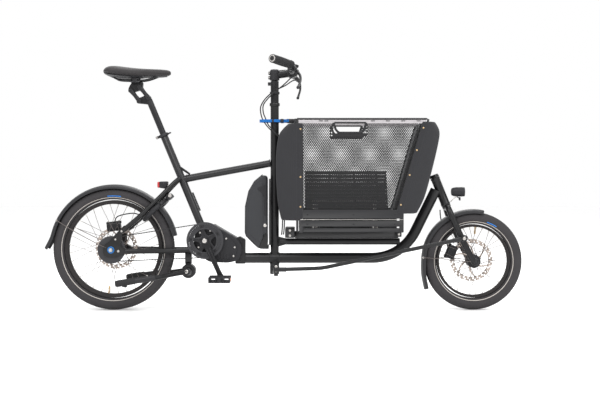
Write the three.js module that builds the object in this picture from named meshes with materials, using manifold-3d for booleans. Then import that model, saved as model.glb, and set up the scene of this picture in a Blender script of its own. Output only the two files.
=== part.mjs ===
// Compact front-loading cargo bicycle with a folding basket, built as separate named parts.
// Millimetres, +X forward, +Z up. The right-hand (drive) side of the bicycle is -Y.
// Everything is laid out from the rear axle, with the ground at z = 0, and centred in x at the end.
import * as THREE from 'three';
import { mergeVertices } from 'three/addons/utils/BufferGeometryUtils.js';
import Module from 'manifold-3d';

const wasm = await Module();
wasm.setup();

// ---- driving dimensions -------------------------------------------------------------------------
const GAP = 0.4;                       // clearance between parts that touch on the real machine
const RIGHT = -1;
const LEFT = 1;

const REAR_WHEEL = { x: 0, z: 253, tyreR: 253, tyreW: 54, beadR: 203, rimInnerR: 186, hubR: 34, rotorY: 56 };
const FRONT_WHEEL = { x: 1495, z: 203, tyreR: 203, tyreW: 50, beadR: 152.5, rimInnerR: 141, hubR: 17, rotorY: 38 };
const SPOKES = 16;                     // solid spokes; the real wheel has twice as many, too fine to matter here
const SPOKE_R = 1.2;
const ROTOR_R = 90;

const CRANK = { x: 384, z: 291, length: 165, lean: 24.2, y: 74 };
const PEDAL_TIP = 67.5;
const BELT = { frontR: 69.5, rearR: 47.5, y: -56.5, width: 12 };

const COLUMN = { x: 669, bottom: 186, top: 860, r: 17.5, boreR: 13.2 };
const MAIN_TUBE = { z: 215, r: 22, startX: 532, bendX: 1076, bendR: 200, rise: 63.6 };
const RAIL_TUBE = { z: 283, r: 13.5 };
const SEAT_TUBE = { bottom: [358, 361.6], top: [209.4, 719.6], r: 16 };
const TOP_TUBE = { rear: [313, 547], front: [654, 609.5], r: 15 };
const HEAD_TUBE = { bottom: [1381, 439], top: [1337, 548], r: 18.5, boreR: 13.2 };
const STEER_ARM = 105;                 // reach of the arm under the column, to the tie rod's ball
const FORK_ARM_Y = 113;                // reach of the lug on the fork, to the other ball
const TIE_ROD_R = 8;

const BASKET = {
  floorHalf: 270,                      // ridge hinge to side hinge
  foldedY: 125,                        // side hinge from the middle plane, folded
  hingeZ: 335,
  rearX: 758,
  topZ: 788,
  bottomZ: 326,
  railTopZ: 421,
  frontTopX: 1298,
  frontLowX: 1194,
  frontLowZ: 432,
  floorRearX: 796,
  floorFrontX: 1134,
};
const FOLD = Math.acos(BASKET.foldedY / BASKET.floorHalf);

// ---- looks --------------------------------------------------------------------------------------
const LOOKS = {
  frame: [0x202122, 0.42, 0.3],
  black: [0x18181a, 0.55, 0.1],
  rubber: [0x26262a, 0.85, 0.0],
  steel: [0xb5b1ac, 0.35, 0.9],
  alloy: [0xa9a7a8, 0.45, 0.7],
  fabric: [0x2c2c30, 0.95, 0.0],
  strap: [0x2a76b4, 0.8, 0.0],
};

// ---- geometry helpers ---------------------------------------------------------------------------
const point = (x, y, z) => new THREE.Vector3(x, y, z);
const radians = THREE.MathUtils.degToRad;

/** Closed three.js geometry -> solid that can be joined and cut. */
function solid(geometry) {
  const plain = geometry.index ? geometry.toNonIndexed() : geometry.clone();
  for (const name of Object.keys(plain.attributes)) {
    if (name !== 'position') plain.deleteAttribute(name);
  }
  const merged = mergeVertices(plain, 1e-3);
  const positions = merged.attributes.position.array;
  const faces = Array.from(merged.index.array);
  if (signedVolume(positions, faces) < 0) faces.reverse();
  return new wasm.Manifold(new wasm.Mesh({
    numProp: 3,
    vertProperties: new Float32Array(positions),
    triVerts: new Uint32Array(faces),
  }));
}

/** Volume inside a closed skin, negative when its faces point inwards. */
function signedVolume(positions, faces) {
  const corner = (i) => point(...positions.slice(3 * faces[i], 3 * faces[i] + 3));
  let volume = 0;
  for (let i = 0; i < faces.length; i += 3) {
    volume += corner(i).dot(corner(i + 1).cross(corner(i + 2))) / 6;
  }
  return volume;
}

/** Geometry of a solid's largest body; a cut can leave slivers of no volume beside it. */
function geometryOf(body) {
  const bodies = body.decompose().filter((part) => part.volume() > 1);
  if (bodies.length !== 1) throw new Error(`${bodies.length} separate bodies`);
  const mesh = bodies[0].simplify(0.02).getMesh();
  const geometry = new THREE.BufferGeometry();
  geometry.setAttribute('position', new THREE.BufferAttribute(new Float32Array(mesh.vertProperties), 3));
  geometry.setIndex(new THREE.BufferAttribute(new Uint32Array(mesh.triVerts), 1));
  geometry.computeVertexNormals();
  return geometry;
}

const join = (...bodies) => bodies.reduce((all, body) => all.add(body));
const cut = (body, ...tools) => tools.reduce((left, tool) => left.subtract(tool), body);

/** Round bar from p to q. */
function bar(p, q, radius, sides = 12, endRadius = radius) {
  const along = q.clone().sub(p);
  const geometry = new THREE.CylinderGeometry(endRadius, radius, along.length(), sides);
  geometry.applyQuaternion(new THREE.Quaternion().setFromUnitVectors(point(0, 1, 0), along.normalize()));
  geometry.translate(...p.clone().add(q).multiplyScalar(0.5).toArray());
  return solid(geometry);
}

/** Round bar across the bicycle, along Y. */
const crossBar = (x, z, y0, y1, radius, sides = 16) => bar(point(x, y0, z), point(x, y1, z), radius, sides);

/** Box by its centre and size, turned about Y by `pitch` degrees. */
function block(centre, size, pitch = 0) {
  const geometry = new THREE.BoxGeometry(...size);
  geometry.rotateY(radians(pitch));
  geometry.translate(...centre);
  return solid(geometry);
}

/** Box by its lowest and highest corners. */
const boxBetween = (low, high) => block(
  low.map((value, i) => (value + high[i]) / 2),
  low.map((value, i) => high[i] - value),
);

/** Outline in the XZ plane, extruded from y0 to y1. */
function plate(outline, y0, y1) {
  const shape = new THREE.Shape(outline.map(([x, z]) => new THREE.Vector2(x, z)));
  const geometry = new THREE.ExtrudeGeometry(shape, { depth: y1 - y0, bevelEnabled: false });
  geometry.rotateX(Math.PI / 2);
  geometry.translate(0, y1, 0);
  return solid(geometry);
}

/** Outline in the XY plane, extruded from z0 to z1. */
function slab(outline, z0, z1) {
  const shape = new THREE.Shape(outline.map(([x, y]) => new THREE.Vector2(x, y)));
  const geometry = new THREE.ExtrudeGeometry(shape, { depth: z1 - z0, bevelEnabled: false });
  geometry.translate(0, 0, z0);
  return solid(geometry);
}

/** Ring turned about the Y axis through (x, z), from a closed section of [radius, y] points. */
function ring(x, z, section, segments = 48) {
  const profile = [...section, section[0]].map(([r, y]) => new THREE.Vector2(r, y));
  const geometry = new THREE.LatheGeometry(profile, segments);
  geometry.translate(x, 0, z);
  return solid(geometry);
}

/** Flat washer shape about the Y axis. */
const washer = (x, z, inner, outer, y0, y1, segments) => (
  ring(x, z, [[inner, y0], [outer, y0], [outer, y1], [inner, y1]], segments)
);

/** Triangles that fill a flat closed outline, wound the way the outline runs. */
function capTriangles(outline) {
  const normal = point(0, 0, 0);
  outline.forEach((p, i) => normal.add(p.clone().cross(outline[(i + 1) % outline.length])));
  const size = normal.toArray().map(Math.abs);
  const dropped = size.indexOf(Math.max(...size));
  const flat = outline.map((p) => new THREE.Vector2(...p.toArray().filter((_, axis) => axis !== dropped)));
  const triangles = THREE.ShapeUtils.triangulateShape(flat, []);
  const along = Math.sign(THREE.ShapeUtils.area(flat));
  return triangles.map(([a, b, c]) => (
    Math.sign(THREE.ShapeUtils.area([flat[a], flat[b], flat[c]])) === along ? [a, b, c] : [a, c, b]
  ));
}

/** Closed skin over rings of points that all have the same count. */
function loft(rings) {
  const count = rings[0].length;
  const positions = rings.flat().flatMap((p) => p.toArray());
  const faces = [];
  for (let i = 0; i < rings.length - 1; i += 1) {
    for (let j = 0; j < count; j += 1) {
      const a = i * count + j;
      const b = i * count + (j + 1) % count;
      faces.push(a, b, b + count, a, b + count, a + count);
    }
  }
  const last = (rings.length - 1) * count;
  for (const [a, b, c] of capTriangles(rings[0])) faces.push(a, c, b);
  for (const [a, b, c] of capTriangles(rings[rings.length - 1])) faces.push(last + a, last + b, last + c);
  const geometry = new THREE.BufferGeometry();
  geometry.setAttribute('position', new THREE.Float32BufferAttribute(positions, 3));
  geometry.setIndex(faces);
  return solid(geometry);
}

/** Round tube along a smooth curve through the points. */
function bentTube(points, radius, sides, steps) {
  const curve = new THREE.CatmullRomCurve3(points, false, 'centripetal');
  const circle = new THREE.Shape();
  circle.absarc(0, 0, radius, 0, 2 * Math.PI);
  return solid(new THREE.ExtrudeGeometry(circle, {
    steps, extrudePath: curve, curveSegments: sides / 2, bevelEnabled: false,
  }));
}

/** Mirror image on the other side of the bicycle. */
const onSide = (side, body) => (side === LEFT ? body : body.mirror([0, 1, 0]));

const offsetPoint = ([x, z], y = 0) => point(x, y, z);

// ---- frame --------------------------------------------------------------------------------------
const headAxis = offsetPoint(HEAD_TUBE.top).sub(offsetPoint(HEAD_TUBE.bottom)).normalize();
const headPoint = (distance) => offsetPoint(HEAD_TUBE.bottom).addScaledVector(headAxis, distance);
const seatAxis = offsetPoint(SEAT_TUBE.top).sub(offsetPoint(SEAT_TUBE.bottom)).normalize();
const seatPoint = (distance) => offsetPoint(SEAT_TUBE.bottom).addScaledVector(seatAxis, distance);
const seatTubeLength = offsetPoint(SEAT_TUBE.top).distanceTo(offsetPoint(SEAT_TUBE.bottom));

/** Centreline of the main tube: along the bottom, round one bend, and up to the front head tube. */
function mainTubePath() {
  const { z, startX, bendX, bendR, rise } = MAIN_TUBE;
  const points = [point(startX, 0, z), point((startX + bendX) / 2, 0, z)];
  for (let angle = 0; angle <= rise; angle += rise / 6) {
    points.push(point(
      bendX + bendR * Math.sin(radians(angle)),
      0,
      z + bendR * (1 - Math.cos(radians(angle))),
    ));
  }
  const end = points[points.length - 1];
  points.push(end.clone().lerp(headPoint(84), 0.5), headPoint(84));
  return points;
}

const mainTubeShape = (extra = 0) => bentTube(mainTubePath(), MAIN_TUBE.r + extra, 14, 14);
const columnShape = (extra = 0) => bar(
  point(COLUMN.x, 0, COLUMN.bottom), point(COLUMN.x, 0, COLUMN.top), COLUMN.r + extra, 20,
);
const headTubeShape = (extra = 0) => bar(headPoint(-2), headPoint(118), HEAD_TUBE.r + extra, 14);
const seatTubeShape = (extra = 0) => bar(seatPoint(-20), seatPoint(seatTubeLength), SEAT_TUBE.r + extra, 14);

const MOTOR_OUTLINE = [
  [330, 250], [345, 345], [420, 353], [515, 296], [533, 275], [536, 240], [520, 208], [480, 197], [400, 200],
];
const grownMotor = (grow, halfWidth) => plate(
  MOTOR_OUTLINE.map(([x, z]) => [x + Math.sign(x - 440) * grow, z + Math.sign(z - 270) * grow]),
  -halfWidth,
  halfWidth,
);

function mainTube() {
  const bracket = plate([[500, 192], [548, 192], [548, 292], [520, 308], [500, 300]], -24, 14);
  const tube = join(mainTubeShape(), bracket);
  return cut(tube, columnShape(GAP), headTubeShape(GAP), grownMotor(GAP + 1, 60));
}

function cargoRail() {
  const rail = bar(point(COLUMN.x, 0, RAIL_TUBE.z), point(1215, 0, RAIL_TUBE.z), RAIL_TUBE.r, 12);
  const gusset = plate([[680, 262], [716, 271], [716, 296], [680, 304]], -9, 9);
  return cut(join(rail, gusset), columnShape(GAP), mainTubeShape(GAP));
}

function steeringColumn() {
  const ringTop = bar(point(COLUMN.x, 0, COLUMN.top - 9), point(COLUMN.x, 0, COLUMN.top), 21.5, 14);
  const ringLow = bar(point(COLUMN.x, 0, COLUMN.bottom), point(COLUMN.x, 0, COLUMN.bottom + 6), 20.5, 14);
  const batteryRail = boxBetween([655 - 10, -11, 268], [655 + 2, 11, 546]);
  const bore = bar(
    point(COLUMN.x, 0, COLUMN.bottom - 10), point(COLUMN.x, 0, COLUMN.top + 10), COLUMN.boreR, 20,
  );
  return cut(join(columnShape(), ringTop, ringLow, batteryRail), bore);
}

function seatTube() {
  const gusset = plate([[276, 586], [314, 560], [322, 538], [300, 520], [284, 560]], -7, 7);
  const bore = bar(seatPoint(70), seatPoint(seatTubeLength + 20), SEAT_TUBE.r - 2.4, 14);
  return cut(join(seatTubeShape(), gusset), bore, grownMotor(GAP, 60));
}

function topTube() {
  const tube = bar(offsetPoint(TOP_TUBE.rear), point(COLUMN.x, 0, 612.2), TOP_TUBE.r, 12);
  const gusset = plate([[276, 588], [314, 562], [322, 538], [300, 520], [284, 560]], -7.5, 7.5);
  return cut(tube, seatTubeShape(GAP), columnShape(GAP), gusset, gussetClearance());
}

const gussetClearance = () => plate([[272, 592], [318, 564], [326, 536], [300, 516]], -7.5, 7.5);

/** Chainstay, seatstay and dropout of one side, as one welded piece. The left one carries the axle. */
function rearStays(side) {
  const dropout = plate([
    [-34, 246], [-26, 226], [14, 222], [52, 236], [66, 240], [66, 257], [40, 268],
    [44, 318], [74, 338], [56, 356], [22, 322], [-6, 290], [-30, 272],
  ], 67.5, 73.5);
  const chainstay = bentTube([
    point(60, 76, 247), point(120, 67, 247.5), point(210, 48, 247), point(300, 38, 248), point(331, 37, 250),
  ], 9.5, 8, 8);
  const seatstay = bentTube([
    point(50, 70, 334), point(110, 62, 385), point(190, 47, 462), point(250, 29, 524), point(282, 15, 552),
  ], 9, 8, 8);
  let stays = join(dropout, chainstay, seatstay);
  if (side === LEFT) {
    stays = join(stays, crossBar(0, REAR_WHEEL.z, -67, 86, 5, 12), crossBar(0, REAR_WHEEL.z, 73, 80, 10, 6));
  } else {
    stays = cut(stays, crossBar(0, REAR_WHEEL.z, 60, 90, 5.5, 12));
  }
  const otherHalf = boxBetween([200, -30, 400], [340, GAP, 700]);
  return onSide(side, cut(stays, seatTubeShape(GAP), grownMotor(GAP, 60), otherHalf));
}

function frontHeadTube() {
  return cut(headTubeShape(), bar(headPoint(-20), headPoint(140), HEAD_TUBE.boreR, 14));
}

// ---- drive --------------------------------------------------------------------------------------
function driveUnit() {
  const housing = plate(MOTOR_OUTLINE, -42, 42);
  const boss = crossBar(CRANK.x, CRANK.z, -49, 49, 30, 14);
  return cut(join(housing, boss), crossBar(CRANK.x, CRANK.z, -60, 60, 12.4, 14));
}

/** Open loop of a belt round both sprockets, offset by `offset` from the pitch line. */
function beltOutline(offset) {
  const front = BELT.frontR + offset;
  const rear = BELT.rearR + offset;
  const dx = CRANK.x - REAR_WHEEL.x;
  const dz = CRANK.z - REAR_WHEEL.z;
  const slope = Math.atan2(dz, dx);
  const spread = Math.acos((rear - front) / Math.hypot(dx, dz));
  const outline = [];
  const steps = 10;
  for (let i = 0; i <= steps; i += 1) {
    const angle = slope - spread + (2 * spread * i) / steps;
    outline.push([CRANK.x + front * Math.cos(angle), CRANK.z + front * Math.sin(angle)]);
  }
  for (let i = 0; i <= steps; i += 1) {
    const angle = slope + spread + ((2 * Math.PI - 2 * spread) * i) / steps;
    outline.push([rear * Math.cos(angle), REAR_WHEEL.z + rear * Math.sin(angle)]);
  }
  return outline;
}

function driveBelt() {
  const half = BELT.width / 2;
  return cut(
    plate(beltOutline(2.5), BELT.y - half, BELT.y + half),
    plate(beltOutline(-1.5), BELT.y - half - 5, BELT.y + half + 5),
  );
}

function beltChainring() {
  const sprocket = washer(CRANK.x, CRANK.z, 12.4, BELT.frontR - 3, BELT.y - 6, BELT.y + 5, 28);
  const guard = washer(CRANK.x, CRANK.z, 44, 76, BELT.y - 9.5, BELT.y - 7, 28);
  const web = washer(CRANK.x, CRANK.z, 40, 60, BELT.y - 9, BELT.y - 5, 28);
  return join(sprocket, guard, web);
}

function rearSprocket() {
  const sprocket = washer(0, REAR_WHEEL.z, 5.6, BELT.rearR - 3, BELT.y - 6, BELT.y + 6, 14);
  const guard = washer(0, REAR_WHEEL.z, 5.6, 57, BELT.y - 9.5, BELT.y - 6.8, 14);
  const hub = washer(0, REAR_WHEEL.z, 5.6, 30, BELT.y - 8, BELT.y - 5, 14);
  return join(sprocket, guard, hub);
}

/** Crank arm, pointing down and forward on the right and up and back on the left. */
function crankArm(side) {
  const along = point(Math.sin(radians(CRANK.lean)), 0, -Math.cos(radians(CRANK.lean)));
  if (side === LEFT) along.negate();
  const centre = point(CRANK.x, 0, CRANK.z);
  const at = (distance, y) => centre.clone().addScaledVector(along, distance).setY(side * y);
  const arm = loft([-17, -6, 30, 130, 158, 176].map((distance, i) => {
    const halfWidth = [9, 16, 13, 10, 13, 8][i];
    const across = point(-along.z, 0, along.x).multiplyScalar(halfWidth);
    return [
      at(distance, CRANK.y - 6).add(across), at(distance, CRANK.y + 6).add(across),
      at(distance, CRANK.y + 6).sub(across), at(distance, CRANK.y - 6).sub(across),
    ];
  }));
  const boss = bar(at(0, 68 - GAP), at(0, 84), 16, 14);
  return cut(join(arm, boss), bar(at(CRANK.length, 50), at(CRANK.length, 100), 7, 12));
}

/** Both crank arms on their spindle. */
const crankArms = () => join(
  crankArm(RIGHT), crankArm(LEFT), crossBar(CRANK.x, CRANK.z, -75, 75, 12, 14),
);

/** Platform pedal on its spindle. The left one has tipped until it lies in line with the seat tube. */
function pedal(side) {
  const lean = radians(CRANK.lean);
  const reach = side === RIGHT ? CRANK.length : -CRANK.length;
  const x = CRANK.x + reach * Math.sin(lean);
  const z = CRANK.z - reach * Math.cos(lean);
  const tip = side === RIGHT ? 0 : PEDAL_TIP;
  const windows = [-1, 1].map((end) => block([end * 24, 142, 0], [24, 68, 40]));
  const body = cut(block([0, 142, 0], [88, 92, 24]), ...windows).rotate([0, tip, 0]).translate([x, 0, z]);
  return onSide(side, join(body, crossBar(x, z, 66, 100, 6.5, 12)));
}

// ---- wheels -------------------------------------------------------------------------------------
/** Rim, spokes, hub and brake disc of one wheel. */
function wheel({ x, z, beadR, rimInnerR, hubR, rotorY }, hubRight, hubLeft, flangeY, flangeR, axleR) {
  const rim = ring(x, z, [
    [rimInnerR, 9], [beadR - 5, 14.5], [beadR - GAP, 14.5], [beadR - GAP, -14.5], [beadR - 5, -14.5],
    [rimInnerR, -9],
  ], 40);
  const hub = ring(x, z, [
    [axleR + GAP, -hubRight], [14, -hubRight], [16, -flangeY - 4], [flangeR + 4, -flangeY - 2],
    [flangeR + 4, -flangeY + 2], [hubR, -flangeY + 6], [hubR, flangeY - 6], [flangeR + 4, flangeY - 2],
    [flangeR + 4, flangeY + 2], [21, flangeY + 4], [21, hubLeft], [axleR + GAP, hubLeft],
  ], 14);
  const spokes = [];
  const pitch = 360 / SPOKES;
  for (let i = 0; i < SPOKES; i += 1) {
    const side = i % 2 ? RIGHT : LEFT;
    const crossed = Math.floor(i / 2) % 2 ? 1 : -1;
    const rimAngle = radians((i + 0.5) * pitch);
    const hubAngle = rimAngle + crossed * radians(2.6 * pitch);
    spokes.push(bar(
      point(x + flangeR * Math.cos(hubAngle), side * flangeY, z + flangeR * Math.sin(hubAngle)),
      point(x + (rimInnerR + 3) * Math.cos(rimAngle), side * 3, z + (rimInnerR + 3) * Math.sin(rimAngle)),
      SPOKE_R,
      3,
    ));
  }
  const disc = washer(x, z, 20, ROTOR_R, rotorY - 1, rotorY + 1, 28);
  return join(rim, hub, ...spokes, disc);
}

function tyre({ x, z, tyreR, tyreW, beadR }) {
  const half = tyreW / 2;
  const height = tyreR - beadR;
  const right = [
    [beadR, -13], [beadR + 0.35 * height, -0.96 * half], [beadR + 0.7 * height, -0.96 * half],
    [beadR + 0.93 * height, -0.5 * half],
  ];
  const left = right.map(([r, y]) => [r, -y]).reverse();
  return ring(x, z, [...right, [tyreR, 0], ...left], 40);
}

// ---- mudguards, lights, lock, stand, brakes ------------------------------------------------------
/**
 * Curved guard over a tyre from angle a to b, drawn out into a flap. Each flap station is the
 * place of its outer skin and the direction, in degrees, that it faces.
 */
function mudguard({ x, z }, outerR, halfWidth, a, b, flap) {
  const skin = [
    [9, -halfWidth], [3, -0.8 * halfWidth], [0, -0.35 * halfWidth], [0, 0.35 * halfWidth],
    [3, 0.8 * halfWidth], [9, halfWidth], [11, 0.95 * halfWidth], [5, 0.7 * halfWidth],
    [2, 0.3 * halfWidth], [2, -0.3 * halfWidth], [5, -0.7 * halfWidth], [11, -0.95 * halfWidth],
  ];
  const steps = 11;
  const stations = [];
  for (let i = 0; i <= steps; i += 1) {
    const angle = a + (b - a) * i / steps;
    stations.push([x + outerR * Math.cos(radians(angle)), z + outerR * Math.sin(radians(angle)), angle]);
  }
  return loft([...stations, ...flap].map(([sx, sz, facing]) => skin.map(([depth, y]) => (
    point(sx - depth * Math.cos(radians(facing)), y, sz - depth * Math.sin(radians(facing)))
  ))));
}

const rearMudguard = () => mudguard(REAR_WHEEL, 268, 31, 12, 166, [[-268, 296, 158], [-288, 258, 150]]);

const frontMudguard = () => mudguard(
  FRONT_WHEEL, 215, 29, 78, 178, [[1279, 180, 181], [1281, 140, 190], [1292, 84, 196]],
);

function rearLight() {
  const lamp = plate([[182, 532], [182, 507], [222, 502], [224, 534]], -26, 26);
  const foot = bar(point(215, 0, 510), point(250, 0, 522), 4, 8);
  return join(lamp, foot, crossBar(250, 522, -19, 19, 4, 8));
}

const LOCK = { angle: 43, reach: 237, r: 64 };

/** Point on the ring lock: `turn` degrees round the ring from its outermost point. */
function lockPoint(turn, radius = LOCK.r) {
  const out = LOCK.reach + radius * Math.cos(radians(turn));
  return point(
    out * Math.cos(radians(LOCK.angle)),
    radius * Math.sin(radians(turn)),
    REAR_WHEEL.z + out * Math.sin(radians(LOCK.angle)),
  );
}

function lockArc(from, to, radius, sides, steps) {
  const points = [];
  for (let i = 0; i <= steps; i += 1) points.push(lockPoint(from + (to - from) * i / steps));
  return bentTube(points, radius, sides, steps);
}

function ringLockBody() {
  const lean = -LOCK.angle;
  const head = block(lockPoint(0, 80).toArray(), [26, 74, 22], lean);
  const bore = lockArc(20, 175, 5.4, 8, 14);
  return cut(join(lockArc(-152, 152, 10, 8, 14), head), bore);
}

const ringLockShackle = () => lockArc(60, 145, 4.2, 8, 8);

function standBracket() {
  const post = boxBetween([296, -16, 190], [324, 16, 244]);
  const head = crossBar(311, 161, -29, 29, 29, 16);
  const bridge = boxBetween([298, -16, 160], [322, 16, 200]);
  return cut(join(post, head, bridge), grownMotor(GAP, 60));
}

/**
 * One leg of the two-legged stand, folded up beside the rear wheel. Its pivot leans, so that the
 * leg swings outwards as it comes down.
 */
function standLeg(side) {
  const pivot = point(311, 46, 161);
  const leaning = point(-0.32, 0.9385, 0.1297).multiplyScalar(11);
  const knuckle = bar(pivot.clone().sub(leaning), pivot.clone().add(leaning), 15, 14);
  const leg = bentTube([
    pivot.clone(), point(288, 50, 158), point(262, 60, 154), point(225, 84, 148), point(180, 112, 142),
    point(70, 132, 127),
  ], 10, 9, 7);
  const foot = bar(point(100, 129, 132), point(28, 137, 120), 13.5, 12);
  return onSide(side, join(knuckle, leg, foot));
}

/** Disc brake caliper round the edge of a disc, at `angle` degrees about the axle, with its hose. */
function caliper({ x, z, rotorY }, angle, hose) {
  const turn = radians(angle);
  const centre = [x + 88 * Math.cos(turn), rotorY, z + 88 * Math.sin(turn)];
  const shell = block(centre, [34, 32, 62], -angle);
  const slot = washer(x, z, 20, ROTOR_R + 3, rotorY - 3.6, rotorY + 3.6, 36);
  const adapter = block(
    [x + 106 * Math.cos(turn), rotorY + 6, z + 106 * Math.sin(turn)], [12, 12, 66], -angle,
  );
  return join(cut(shell, slot), adapter, bentTube(hose, 2.4, 6, 10));
}

function rearCaliper() {
  return caliper(REAR_WHEEL, 97, [
    point(-11, 62, 352), point(2, 63, 384), point(60, 66, 398), point(92, 72, 392), point(104, 75, 382),
  ]);
}

function frontCaliper() {
  return caliper(FRONT_WHEEL, 158, [
    point(1400, 40, 246), point(1388, 42, 290), point(1378, 40, 330), point(1366, 34, 380),
    point(1362, 26, 414),
  ]);
}

// ---- seat ---------------------------------------------------------------------------------------
const POST_TOP = seatPoint(seatTubeLength + 166.7);
const LINK = { dx: -36, dz: 44, spread: 37, halfY: 17.2 };
const linkLow = (rear) => [POST_TOP.x - 2 - (rear ? LINK.spread : 0), POST_TOP.z + 8 - (rear ? 14 : 0)];

function seatClamp() {
  const collar = bar(seatPoint(seatTubeLength + 1), seatPoint(seatTubeLength + 13), 20.5, 14);
  const bore = bar(seatPoint(seatTubeLength - 5), seatPoint(seatTubeLength + 20), 14.4, 14);
  const bolt = block(
    seatPoint(seatTubeLength + 7).add(point(-25, 0, -10)).toArray(), [16, 22, 11], -22,
  );
  const lug = block(seatPoint(seatTubeLength + 7).add(point(24, 0, 9)).toArray(), [14, 12, 8], -22);
  return cut(join(collar, bolt, lug), bore);
}

function seatpostTube() {
  const tube = bar(seatPoint(90), POST_TOP, 13.2, 12);
  const [frontX, frontZ] = linkLow(false);
  const [rearX, rearZ] = linkLow(true);
  const head = plate([
    [frontX + 14, frontZ - 30], [frontX + 10, frontZ + 8], [frontX - 8, frontZ + 12],
    [rearX - 12, rearZ + 9], [rearX - 12, rearZ - 9], [frontX - 16, frontZ - 26],
  ], -11.5, 11.5);
  return cut(
    join(tube, head),
    crossBar(frontX, frontZ, -30, 30, 4.2, 12),
    crossBar(rearX, rearZ, -30, 30, 4.2, 12),
  );
}

/** One link of the sprung parallelogram: two cheeks and the pin through the post's head. */
function seatpostLink(rear) {
  const [x, z] = linkLow(rear);
  const cheeks = [RIGHT, LEFT].map((side) => onSide(side, join(
    bar(point(x, LINK.halfY, z), point(x + LINK.dx, LINK.halfY, z + LINK.dz), 5, 10),
    crossBar(x, z, 13.6, 22, 9, 12),
    crossBar(x + LINK.dx, z + LINK.dz, 13.6, 22, 9, 12),
  )));
  return join(
    ...cheeks,
    crossBar(x, z, -16, 16, 3.8, 12),
    crossBar(x + LINK.dx, z + LINK.dz, -16, 16, 3.8, 12),
  );
}

function seatpostHead() {
  const [frontX, frontZ] = linkLow(false);
  const [rearX, rearZ] = linkLow(true);
  const [upX, upZ] = [frontX + LINK.dx, frontZ + LINK.dz];
  const [backX, backZ] = [rearX + LINK.dx, rearZ + LINK.dz];
  const yoke = plate([
    [upX + 12, upZ - 10], [upX + 14, upZ + 22], [backX + 6, upZ + 24], [backX - 10, backZ + 10],
    [backX - 10, backZ - 9], [backX + 10, backZ - 8],
  ], -11.5, 11.5);
  const clamp = crossBar(90, upZ + 28, -29, 29, 11, 14);
  return cut(
    join(yoke, clamp),
    crossBar(upX, upZ, -30, 30, 4.2, 12),
    crossBar(backX, backZ, -30, 30, 4.2, 12),
    ...[RIGHT, LEFT].map((side) => bar(point(20, side * 22, upZ + 28), point(160, side * 22, upZ + 28), 4.6, 10)),
  );
}

/** Saddle cover on its shell, with the two rails that the seatpost clamps. */
function saddle() {
  const stations = [
    [-36, 58, 998, 984], [-22, 88, 1008, 975], [20, 100, 1011, 969], [80, 84, 1006, 967],
    [130, 48, 1001, 967], [180, 27, 1000, 968], [220, 22, 998, 970], [236, 14, 992, 978],
  ];
  const rings = stations.map(([x, half, top, low]) => [
    [-0.96, 0.25], [-0.72, 0.9], [0, 1], [0.72, 0.9], [0.96, 0.25], [0.7, 0], [-0.7, 0],
  ].map(([across, up]) => point(x, across * half, low + (top - low) * up)));
  const railZ = linkLow(false)[1] + LINK.dz + 28;
  const rails = [RIGHT, LEFT].map((side) => bentTube([
    point(-4, side * 34, 972), point(16, side * 25, railZ + 4), point(50, side * 22, railZ),
    point(90, side * 22, railZ), point(126, side * 22, railZ), point(160, side * 18, railZ + 8), point(196, side * 10, 975),
  ], 3.7, 8, 12));
  return join(loft(rings), ...rails);
}

// ---- steering -----------------------------------------------------------------------------------
function steererShaft() {
  const { x } = COLUMN;
  const at = (z) => point(x, 0, z);
  return join(
    bar(at(150), at(992), 12.5, 14),
    bar(at(COLUMN.top + 1), at(COLUMN.top + 36), 17, 14),
    bar(at(COLUMN.top + 36), at(COLUMN.top + 47), 20.5, 14),
    bar(at(COLUMN.top + 47), at(952), 17, 14),
    boxBetween([640, -10, 932], [668, 10, 947]),
  );
}

function stem() {
  const clamp = cut(
    join(
      bar(point(COLUMN.x, 0, 954), point(COLUMN.x, 0, 996), 20, 14),
      boxBetween([642, -11, 958], [668, 11, 992]),
    ),
    bar(point(COLUMN.x, 0, 900), point(COLUMN.x, 0, 1010), 12.5 + GAP, 14),
  );
  const arm = cut(
    bar(point(680, 0, 976), point(733, 0, 984), 15, 14),
    bar(point(COLUMN.x, 0, 900), point(COLUMN.x, 0, 1010), 17, 14),
  );
  const barClamp = crossBar(740, 985, -24, 24, 21, 14);
  return cut(join(clamp, arm, barClamp), crossBar(740, 985, -40, 40, 15.9, 14));
}

const GRIP_INNER = point(734, 172, 1002);
const GRIP_OUTER = point(666, 300, 1011);

/** Handlebar with its grips, which are pushed on and clamped. */
function handlebar() {
  const half = bentTube([
    point(740, -2, 985), point(740, 30, 985), point(741, 70, 988), point(741, 115, 996), GRIP_INNER,
    GRIP_INNER.clone().lerp(GRIP_OUTER, 0.5), GRIP_OUTER.clone().lerp(GRIP_INNER, 0.04),
  ], 11, 8, 12);
  const grip = bar(GRIP_INNER, GRIP_OUTER, 16.5, 14);
  const lockRing = bar(GRIP_INNER.clone().lerp(GRIP_OUTER, -0.06), GRIP_INNER, 18, 14);
  const side = join(half, grip, lockRing);
  return join(side, side.mirror([0, 1, 0]), crossBar(740, 985, -26, 26, 15.4, 14));
}

const LEVER_PIVOT = point(764, 150, 972);

function brakeLever(side) {
  const blade = bentTube([
    LEVER_PIVOT, point(774, 172, 958), point(776, 205, 934), point(770, 240, 914), point(766, 262, 902),
  ], 5.5, 8, 12);
  return onSide(side, join(blade, block(LEVER_PIVOT.toArray(), [12, 16, 14])));
}

function displayUnit() {
  return plate([[722, 1016], [766, 1008], [770, 1015], [728, 1027]], -30, 30);
}

const REAR_BALL = point(COLUMN.x + 8, -STEER_ARM, 176);
const FORK_BALL = point(1440, -FORK_ARM_Y, 303);

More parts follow.
